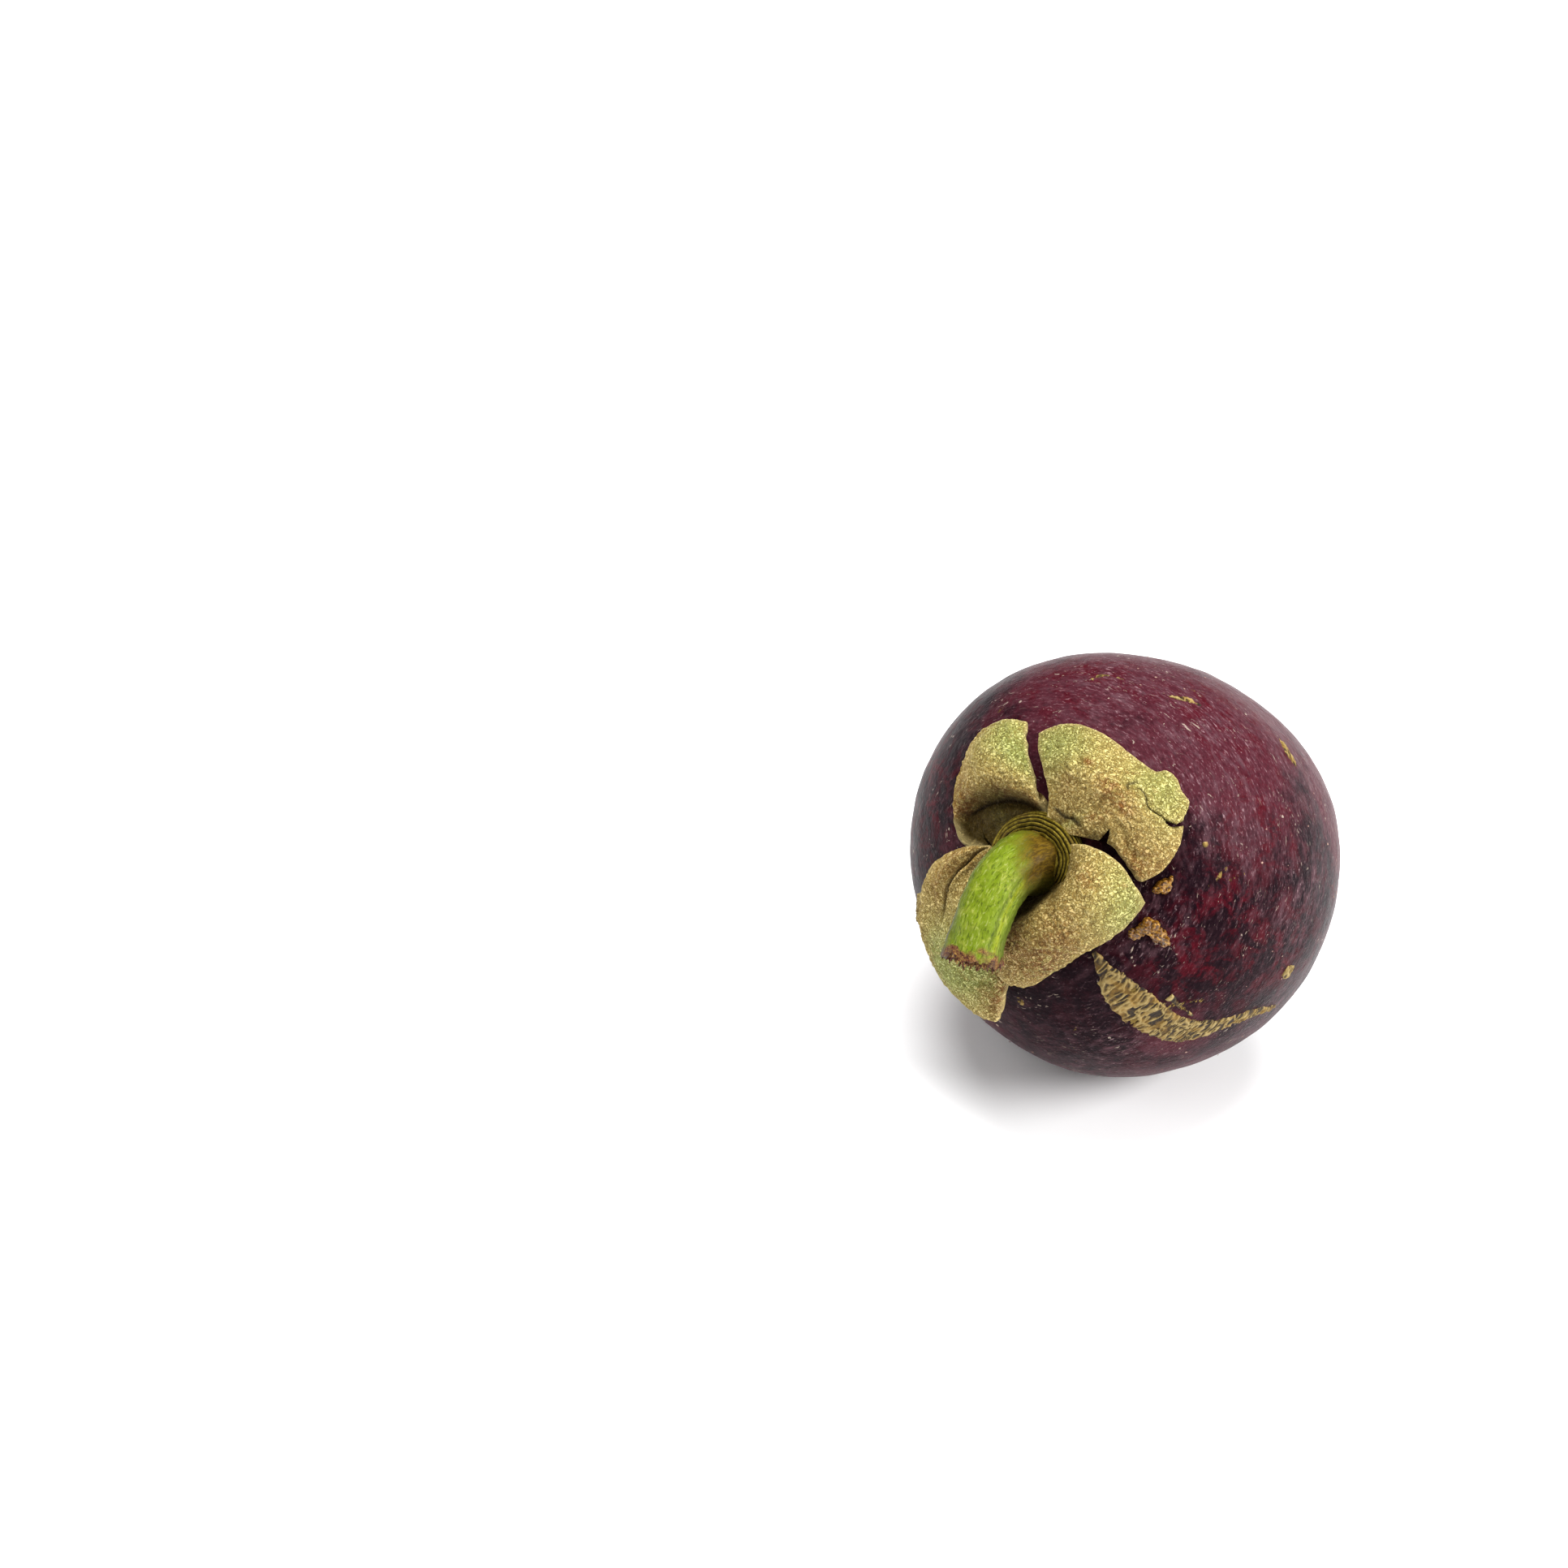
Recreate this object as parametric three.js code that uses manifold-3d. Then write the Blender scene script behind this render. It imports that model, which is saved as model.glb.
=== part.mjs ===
// A mangosteen as picked, lying on its side on the small flat spot where it touches the table.
// The fruit, its short bent stem, the four sepals of its calyx, the flower mark at its far end and two beads
// of dried sap are separate meshes. Millimetres, +Z up, with the origin at the middle of the flat spot.
//
// Places on the fruit are given as on a globe: colatitude is the angle from the stem end, azimuth is the
// angle round the fruit's axis, and height is the distance out from the skin.

import * as THREE from "three";
import { mergeVertices } from "three/addons/utils/BufferGeometryUtils.js";
import Module from "manifold-3d";

const wasm = await Module();
wasm.setup();

// ---- driving dimensions, in millimetres and degrees ----

const GIRTH_RADIUS = 31; // widest radius about the fruit's axis
const STEM_END = 29; // centre of the fruit to its stem end
const BLOSSOM_END = 28; // centre of the fruit to its blossom end
const PROFILE_POWER = 2.2; // 2 is an ellipse, more is squarer
const OVALNESS = { amount: 0.02, azimuth: 149 }; // the girth is a little wider one way than the other
const CORNERS = { amount: 0.017, azimuth: 41 }; // and has three faint corners
const AXIS_TILT = 60; // how far the stem leans over from upright
const REST_DEPTH = 0.9; // how much the fruit is flattened where it lies
const GAP = 0.35; // air between neighbouring pieces

const SEPAL_THICKNESS = 1.4;
const COLLAR_CENTRE = [1.0, -0.3]; // the stem grows a little off the fruit's axis
const COLLAR_RADIUS = 6.1;
const COLLAR_PROFILE = [
  // radius and height above the fruit's centre, from the underside to the foot of the stem
  [0, 29.4],
  [4.4, 29.25],
  [COLLAR_RADIUS, 29.1],
  [COLLAR_RADIUS, 30.6],
  [5.6, 31.2],
  [5.0, 30.9],
  [4.4, 31.6],
  [0, 31.6],
];
const STEM_PATH = [
  [1.0, -0.3, 30.2],
  [1.0, -0.3, 37.6],
  [1.8, -5.6, 38.7],
  [3.0, -12.0, 38.7],
];
const STEM_RADII = [4.4, 3.8, 3.65, 3.7, 3.95]; // from its foot to its cut end

const ROSETTE_LOBES = 6;
const ROSETTE_RADIUS = 6.2;
const ROSETTE_THICKNESS = 1.3;
const HUB_RADIUS = 1.4;
const LOBE_START = 0.12; // where a lobe begins, as a share of the rosette's radius
const LOBE_TIP_ROUNDING = 0.16; // how far a lobe's corners fall short of its middle
const LOBE_RIM = 0.5; // a lobe's thickness along its edges, as a share of its middle's
const CREASE_ANGLE = 1; // half the groove between two lobes

const FRUIT_SEGMENTS = [48, 32];
const SEPAL_GRID = [10, 10];
const STEM_SIDES = 14;
const STEM_STEPS = 12;
const LOBE_GRID = [4, 4];
const DOME_DETAIL = 2;
const SLOPE_STEP = 0.02; // share of a sepal over which its slope is measured
const PLANE_TOLERANCE = 1e-3; // vertices this close to the flat spot's plane are on it

// Each sepal is a patch on the skin between four edges, as [colatitude, azimuth] points. The lifts are
// heights of its upper face from the collar to the tip, along its middle and its two side margins.
const SEPALS = {
  sepal_upper_left: {
    left: [[13, 186], [16, 187], [20, 183], [25, 167], [30, 152], [34, 145]],
    tip: [[34, 145], [36.5, 132], [35, 118]],
    right: [[13.5, 89], [17, 97], [24, 107], [35, 118]],
    lift: {
      middle: [1.9, 2.2, 4.2, 4.6, 3.0],
      left: [2.2, 2.8, 3.2, 3.0, 2.6],
      right: [1.9, 2.4, 3.0, 3.2, 2.8],
    },
  },
  sepal_upper_right: {
    left: [[13.5, 80], [17, 88], [22, 99], [27, 106.5], [31.5, 109]],
    tip: [[31.5, 109], [35.5, 96], [36.5, 83], [38, 67], [41, 56], [43.5, 48], [41.5, 36], [38.5, 26]],
    right: [[13.5, 47], [19, 38], [23, 32], [28, 20], [33, 16], [38.5, 26]],
    lift: {
      middle: [1.9, 3.0, 4.6, 4.2, 2.2],
      left: [1.9, 2.4, 3.0, 3.0, 2.8],
      right: [1.9, 2.2, 2.0, 1.8, 2.0],
    },
  },
  sepal_lower_right: {
    left: [[13.5, 38], [18, 34], [24, 24], [29, 13], [33, 6]],
    tip: [[33, 6], [31, -11], [28.5, -26], [28, -42], [30, -58], [31, -66]],
    right: [[13.5, -62], [18, -70], [24, -74], [28, -73], [31, -66]],
    lift: {
      middle: [2.2, 6.5, 6.2, 4.5, 2.4],
      left: [2.2, 4.2, 4.4, 3.6, 2.6],
      right: [2.2, 6.2, 6.4, 5.6, 4.6],
    },
  },
  sepal_lower_left: {
    left: [[13.5, -166], [16, -158], [21, -150], [26, -142], [31, -131], [35, -123]],
    tip: [[35, -123], [39, -115], [42, -107], [43, -98], [42, -84]],
    right: [[13.5, -88], [20, -84], [27, -79], [33, -79], [42, -84]],
    lift: {
      middle: [2.2, 5.8, 6.6, 6.4, 5.0],
      left: [3.0, 5.0, 5.0, 5.0, 5.0],
      right: [2.0, 2.8, 3.2, 3.8, 5.0],
    },
  },
};

// A sap bead is one dome, or several that run together: where each is, its radius and its height.
const SAP_BEADS = {
  latex_drop_small: [{ at: [36.2, 13.1], radius: 1.35, height: 1.1 }],
  latex_drop_large: [
    { at: [34.4, -9.2], radius: 1.15, height: 0.7 },
    { at: [36.4, -3.8], radius: 1.35, height: 1.2 },
    { at: [39.8, -6.2], radius: 1.5, height: 1.1 },
  ],
};

// ---- finishes ----

const FINISHES = {
  rind: { color: 0x4c2c3a, roughness: 0.42, metalness: 0 },
  stem: { color: 0x8d9a45, roughness: 0.6, metalness: 0 },
  sepal: { color: 0xa8985a, roughness: 0.75, metalness: 0 },
  rosette: { color: 0x3f2d24, roughness: 0.85, metalness: 0 },
  latex: { color: 0x9a7424, roughness: 0.4, metalness: 0 },
};

const radians = THREE.MathUtils.degToRad;

// ---- the skin, and places on it ----

// Distance from the fruit's centre to its skin, at a colatitude and azimuth in radians.
function skinRadius(colatitude, azimuth) {
  const across = Math.sin(colatitude);
  const along = Math.cos(colatitude);
  const end = along > 0 ? STEM_END : BLOSSOM_END;
  const sum = Math.abs(across / GIRTH_RADIUS) ** PROFILE_POWER + Math.abs(along / end) ** PROFILE_POWER;
  const oval = OVALNESS.amount * Math.cos(2 * (azimuth - radians(OVALNESS.azimuth)));
  const corners = CORNERS.amount * Math.cos(3 * (azimuth - radians(CORNERS.azimuth)));
  return sum ** (-1 / PROFILE_POWER) * (1 + across ** 2 * (oval + corners));
}

// A point at a height over the skin, from a colatitude and azimuth in degrees.
function skinPoint(colatitude, azimuth, height) {
  const polar = radians(colatitude);
  const turn = radians(azimuth);
  const across = Math.sin(polar);
  const direction = new THREE.Vector3(across * Math.cos(turn), across * Math.sin(turn), Math.cos(polar));
  return direction.multiplyScalar(skinRadius(polar, turn) + height);
}

// The height of a point over the skin.
function heightOf(point) {
  const length = point.length();
  return length - skinRadius(Math.acos(point.z / length), Math.atan2(point.y, point.x));
}

// ---- solids ----

// The same geometry with one shared vertex wherever faces meet.
function merged(geometry) {
  const bare = geometry.clone();
  bare.deleteAttribute("normal");
  bare.deleteAttribute("uv");
  return mergeVertices(bare, 1e-5);
}

// Moves every vertex of a closed geometry.
function bend(geometry, place) {
  const shared = merged(geometry);
  const position = shared.getAttribute("position");
  const vertex = new THREE.Vector3();
  for (let i = 0; i < position.count; i += 1) {
    place(vertex.fromBufferAttribute(position, i));
    position.setXYZ(i, vertex.x, vertex.y, vertex.z);
  }
  return shared;
}

function toSolid(geometry) {
  const vertProperties = geometry.getAttribute("position").array;
  const triVerts = new Uint32Array(geometry.index.array);
  return new wasm.Manifold(new wasm.Mesh({ numProp: 3, vertProperties, triVerts }));
}

function toGeometry(solid) {
  const mesh = solid.getMesh();
  return new THREE.BufferGeometry()
    .setAttribute("position", new THREE.BufferAttribute(mesh.vertProperties, 3))
    .setIndex(new THREE.BufferAttribute(mesh.triVerts, 1));
}

function joined(geometries) {
  return toGeometry(geometries.map(toSolid).reduce((whole, piece) => whole.add(piece)));
}

function piece(name, geometry, finish) {
  const shaded = geometry.clone();
  shaded.computeVertexNormals();
  const mesh = new THREE.Mesh(shaded, new THREE.MeshStandardMaterial(finish));
  mesh.name = name;
  return mesh;
}

// ---- the fruit ----

// Which way is down, seen from the fruit: the flat spot faces this way.
function downDirection() {
  return new THREE.Vector3(0, 0, -1).applyAxisAngle(new THREE.Vector3(1, 0, 0), -radians(AXIS_TILT));
}

function roundFruit() {
  const sphere = new THREE.SphereGeometry(1, ...FRUIT_SEGMENTS).rotateX(Math.PI / 2);
  return bend(sphere, (v) => {
    v.normalize();
    v.multiplyScalar(skinRadius(Math.acos(THREE.MathUtils.clamp(v.z, -1, 1)), Math.atan2(v.y, v.x)));
  });
}

function verticesOf(geometry) {
  const position = geometry.getAttribute("position");
  return Array.from({ length: position.count }, (_, i) => new THREE.Vector3().fromBufferAttribute(position, i));
}

// The flat spot's distance from the fruit's centre.
function restDistance(round) {
  const down = downDirection();
  return Math.max(...verticesOf(round).map((vertex) => vertex.dot(down))) - REST_DEPTH;
}

// The round fruit with everything below the flat spot's plane cut away.
function fruitGeometry(round, distance) {
  const side = 4 * GIRTH_RADIUS;
  const block = new THREE.BoxGeometry(side, side, side).translate(0, 0, side / 2 - distance);
  block.rotateX(-radians(AXIS_TILT));
  return toGeometry(toSolid(round).intersect(toSolid(merged(block))));
}

// The middle of the flat spot.
function restCentre(fruit, distance) {
  const down = downDirection();
  const onFlat = verticesOf(fruit).filter((vertex) => vertex.dot(down) > distance - PLANE_TOLERANCE);
  return new THREE.Box3().setFromPoints(onFlat).getCenter(new THREE.Vector3());
}

// ---- the stem with its collar ----

function collarGeometry() {
  const profile = COLLAR_PROFILE.map(([radius, height]) => new THREE.Vector2(radius, height));
  const lathe = new THREE.LatheGeometry(profile, 2 * STEM_SIDES).rotateX(Math.PI / 2);
  lathe.translate(COLLAR_CENTRE[0], COLLAR_CENTRE[1], 0);
  return merged(lathe);
}

// Reads a short list of values as a smooth curve, at a share of the way along it.
function along(values, share) {
  const curve = new THREE.SplineCurve(values.map((value, i) => new THREE.Vector2(i, value)));
  return curve.getPoint(share).y;
}

// A round bar whose axis follows the stem's path and whose radius follows STEM_RADII.
function stalkGeometry() {
  const path = new THREE.CubicBezierCurve3(...STEM_PATH.map((point) => new THREE.Vector3(...point)));
  const bar = new THREE.CylinderGeometry(1, 1, 1, STEM_SIDES, STEM_STEPS).rotateX(Math.PI / 2);
  const sideways = new THREE.Vector3(1, 0, 0);
  return bend(bar, (v) => {
    const share = THREE.MathUtils.clamp(v.z + 0.5, 0, 1);
    const ahead = path.getTangent(share);
    const across = sideways.clone().addScaledVector(ahead, -sideways.dot(ahead)).normalize();
    const upward = new THREE.Vector3().crossVectors(ahead, across);
    const radius = along(STEM_RADII, share);
    const [x, y] = [v.x * radius, v.y * radius];
    v.copy(path.getPoint(share)).addScaledVector(across, x).addScaledVector(upward, y);
  });
}

// ---- the sepals ----

function edgeCurve(points) {
  const places = points.map(([colatitude, azimuth]) => new THREE.Vector3(colatitude, azimuth, 0));
  return new THREE.CatmullRomCurve3(places);
}

// The place on the skin at a share of the way out along a sepal and a share of the way across it.
function patchPlace(edges, out, across) {
  const blend = (a, b, share) => a.clone().lerp(b, share);
  const [nearLeft, nearRight] = [edges.left.getPoint(0), edges.right.getPoint(0)];
  const [farLeft, farRight] = [edges.tip.getPoint(0), edges.tip.getPoint(1)];
  const between = blend(edges.left.getPointAt(out), edges.right.getPointAt(out), across);
  const outward = blend(blend(nearLeft, nearRight, across), edges.tip.getPointAt(across), out);
  const corners = blend(blend(nearLeft, nearRight, across), blend(farLeft, farRight, across), out);
  return between.add(outward).sub(corners);
}

function sepalGeometry({ left, tip, right, lift }) {
  const edges = { left: edgeCurve(left), tip: edgeCurve(tip), right: edgeCurve(right) };
  const upperFace = (out, across) => {
    const side = 2 * across - 1;
    const height =
      along(lift.middle, out) * (1 - side ** 2) +
      (along(lift.left, out) * side * (side - 1)) / 2 +
      (along(lift.right, out) * side * (side + 1)) / 2;
    const place = patchPlace(edges, out, across);
    return skinPoint(place.x, place.y, height);
  };
  const leaf = new THREE.BoxGeometry(1, 1, 1, ...SEPAL_GRID, 1);
  return bend(leaf, (v) => {
    const [across, out, upper] = [v.x + 0.5, v.y + 0.5, v.z > 0];
    v.copy(upperFace(out, across));
    if (!upper) v.copy(lowerFace(v, faceNormal(upperFace, out, across)));
  });
}

function faceNormal(face, out, across) {
  const [outA, outB] = [Math.max(out - SLOPE_STEP, 0), Math.min(out + SLOPE_STEP, 1)];
  const [acrossA, acrossB] = [Math.max(across - SLOPE_STEP, 0), Math.min(across + SLOPE_STEP, 1)];
  const outward = face(outB, across).sub(face(outA, across));
  const sideways = face(out, acrossB).sub(face(out, acrossA));
  return sideways.cross(outward).normalize();
}

// The point one sepal's thickness under its upper face, kept clear of the skin.
function lowerFace(upper, normal) {
  const lower = upper.clone().addScaledVector(normal, -SEPAL_THICKNESS);
  const short = GAP - heightOf(lower);
  return short > 0 ? lower.setLength(lower.length() + short) : lower;
}

// ---- the flower mark at the blossom end ----

// One rounded lobe that widens outwards from the middle of the rosette.
function lobeGeometry(azimuth) {
  const wedge = new THREE.BoxGeometry(1, 1, 1, ...LOBE_GRID, 1);
  const halfAngle = 180 / ROSETTE_LOBES - CREASE_ANGLE;
  return bend(wedge, (v) => {
    const [side, out, upper] = [2 * v.x, v.y + 0.5, v.z > 0];
    const reach = ROSETTE_RADIUS * (1 - LOBE_TIP_ROUNDING * side ** 2);
    const radius = reach * THREE.MathUtils.lerp(LOBE_START, 1, out);
    const fullness = (1 - side ** 2) * (1 - out ** 2);
    const height = GAP + (upper ? ROSETTE_THICKNESS * THREE.MathUtils.lerp(LOBE_RIM, 1, fullness) : 0);
    const colatitude = 180 - THREE.MathUtils.radToDeg(radius / BLOSSOM_END);
    v.copy(skinPoint(colatitude, azimuth + side * halfAngle, height));
  });
}

function rosetteGeometry() {
  const disc = new THREE.CylinderGeometry(HUB_RADIUS, HUB_RADIUS, ROSETTE_THICKNESS, STEM_SIDES);
  const hub = merged(disc.rotateX(Math.PI / 2).translate(0, 0, -BLOSSOM_END - GAP - ROSETTE_THICKNESS / 2));
  const lobes = Array.from({ length: ROSETTE_LOBES }, (_, i) => lobeGeometry((360 / ROSETTE_LOBES) * i));
  return joined([hub, ...lobes]);
}

// ---- the beads of dried sap ----

function domeGeometry({ at, radius, height }) {
  const [colatitude, azimuth] = at;
  const middle = skinPoint(colatitude, azimuth, 0);
  const degreesOut = THREE.MathUtils.radToDeg(radius / middle.length());
  const degreesRound = degreesOut / Math.sin(radians(colatitude));
  return bend(new THREE.IcosahedronGeometry(1, DOME_DETAIL), (v) => {
    const rise = GAP + height * Math.max(v.z, 0);
    v.copy(skinPoint(colatitude + v.x * degreesOut, azimuth + v.y * degreesRound, rise));
  });
}

// ---- the whole mangosteen ----

function mangosteen() {
  const round = roundFruit();
  const distance = restDistance(round);
  const fruit = fruitGeometry(round, distance);
  const tilted = new THREE.Group();
  tilted.add(piece("fruit", fruit, FINISHES.rind));
  tilted.add(piece("stem", joined([collarGeometry(), stalkGeometry()]), FINISHES.stem));
  for (const [name, shape] of Object.entries(SEPALS))
    tilted.add(piece(name, sepalGeometry(shape), FINISHES.sepal));
  tilted.add(piece("stigma_rosette", rosetteGeometry(), FINISHES.rosette));
  for (const [name, domes] of Object.entries(SAP_BEADS))
    tilted.add(piece(name, joined(domes.map(domeGeometry)), FINISHES.latex));
  tilted.rotation.x = radians(AXIS_TILT);
  tilted.position.copy(restCentre(fruit, distance).applyEuler(tilted.rotation)).negate();
  const whole = new THREE.Group();
  whole.add(tilted);
  return whole;
}

export default mangosteen();
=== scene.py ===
"""A mangosteen lying on its side: rind, calyx of four sepals, bent green stem, flower mark and beads of dried sap.

Places on the fruit are given as on a globe, in degrees: colatitude is the angle from the stem end and azimuth is
the angle round the fruit's axis. Shapes are worked out in millimetres from the fruit's centre, with +Z along its
axis towards the stem, and are then turned and moved to where the frame has the fruit.
"""

import itertools
import math

import bmesh
import bpy
import numpy as np
from bpy.props import FloatProperty, FloatVectorProperty, IntProperty, PointerProperty
from mathutils import Euler, Matrix, Vector


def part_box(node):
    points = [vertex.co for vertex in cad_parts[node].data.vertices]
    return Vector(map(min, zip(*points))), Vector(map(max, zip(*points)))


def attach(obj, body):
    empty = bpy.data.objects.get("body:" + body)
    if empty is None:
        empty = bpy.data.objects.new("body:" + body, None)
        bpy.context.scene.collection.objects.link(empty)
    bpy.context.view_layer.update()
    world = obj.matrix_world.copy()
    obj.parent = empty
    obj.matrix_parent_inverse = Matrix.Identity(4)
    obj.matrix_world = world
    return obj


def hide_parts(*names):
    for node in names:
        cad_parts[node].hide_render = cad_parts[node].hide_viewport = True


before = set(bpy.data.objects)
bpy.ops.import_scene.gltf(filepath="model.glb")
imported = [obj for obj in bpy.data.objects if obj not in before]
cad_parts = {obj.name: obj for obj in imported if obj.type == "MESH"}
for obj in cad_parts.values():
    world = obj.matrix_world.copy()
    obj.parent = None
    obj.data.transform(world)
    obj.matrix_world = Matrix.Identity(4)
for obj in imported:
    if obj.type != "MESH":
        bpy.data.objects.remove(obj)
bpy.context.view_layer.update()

bl_info = {
    "name": "Mangosteen",
    "version": (1, 0, 0),
    "blender": (4, 5, 0),
    "location": "3D View > Sidebar > Mangosteen",
    "description": "Makes a whole mangosteen with its calyx, stem, flower mark and dried sap",
    "category": "Object",
}

MM = 0.001
SQUARE_CENTIMETRE = 1e-4  # in square metres
CAD_FRUIT = [np.array(corner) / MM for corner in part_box("fruit")]

# ---- the fruit's form, in millimetres and degrees ----

PROFILE_POWER = 2.2  # 2 is an ellipse, more is squarer
OVALNESS = (0.020, 149)  # the girth is wider one way than the other: share, and at which azimuth
CORNERS = (0.017, 41)  # and has three faint corners
SEPAL_EDGE = 0.7  # how far in from a sepal's edge its rounding reaches


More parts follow.
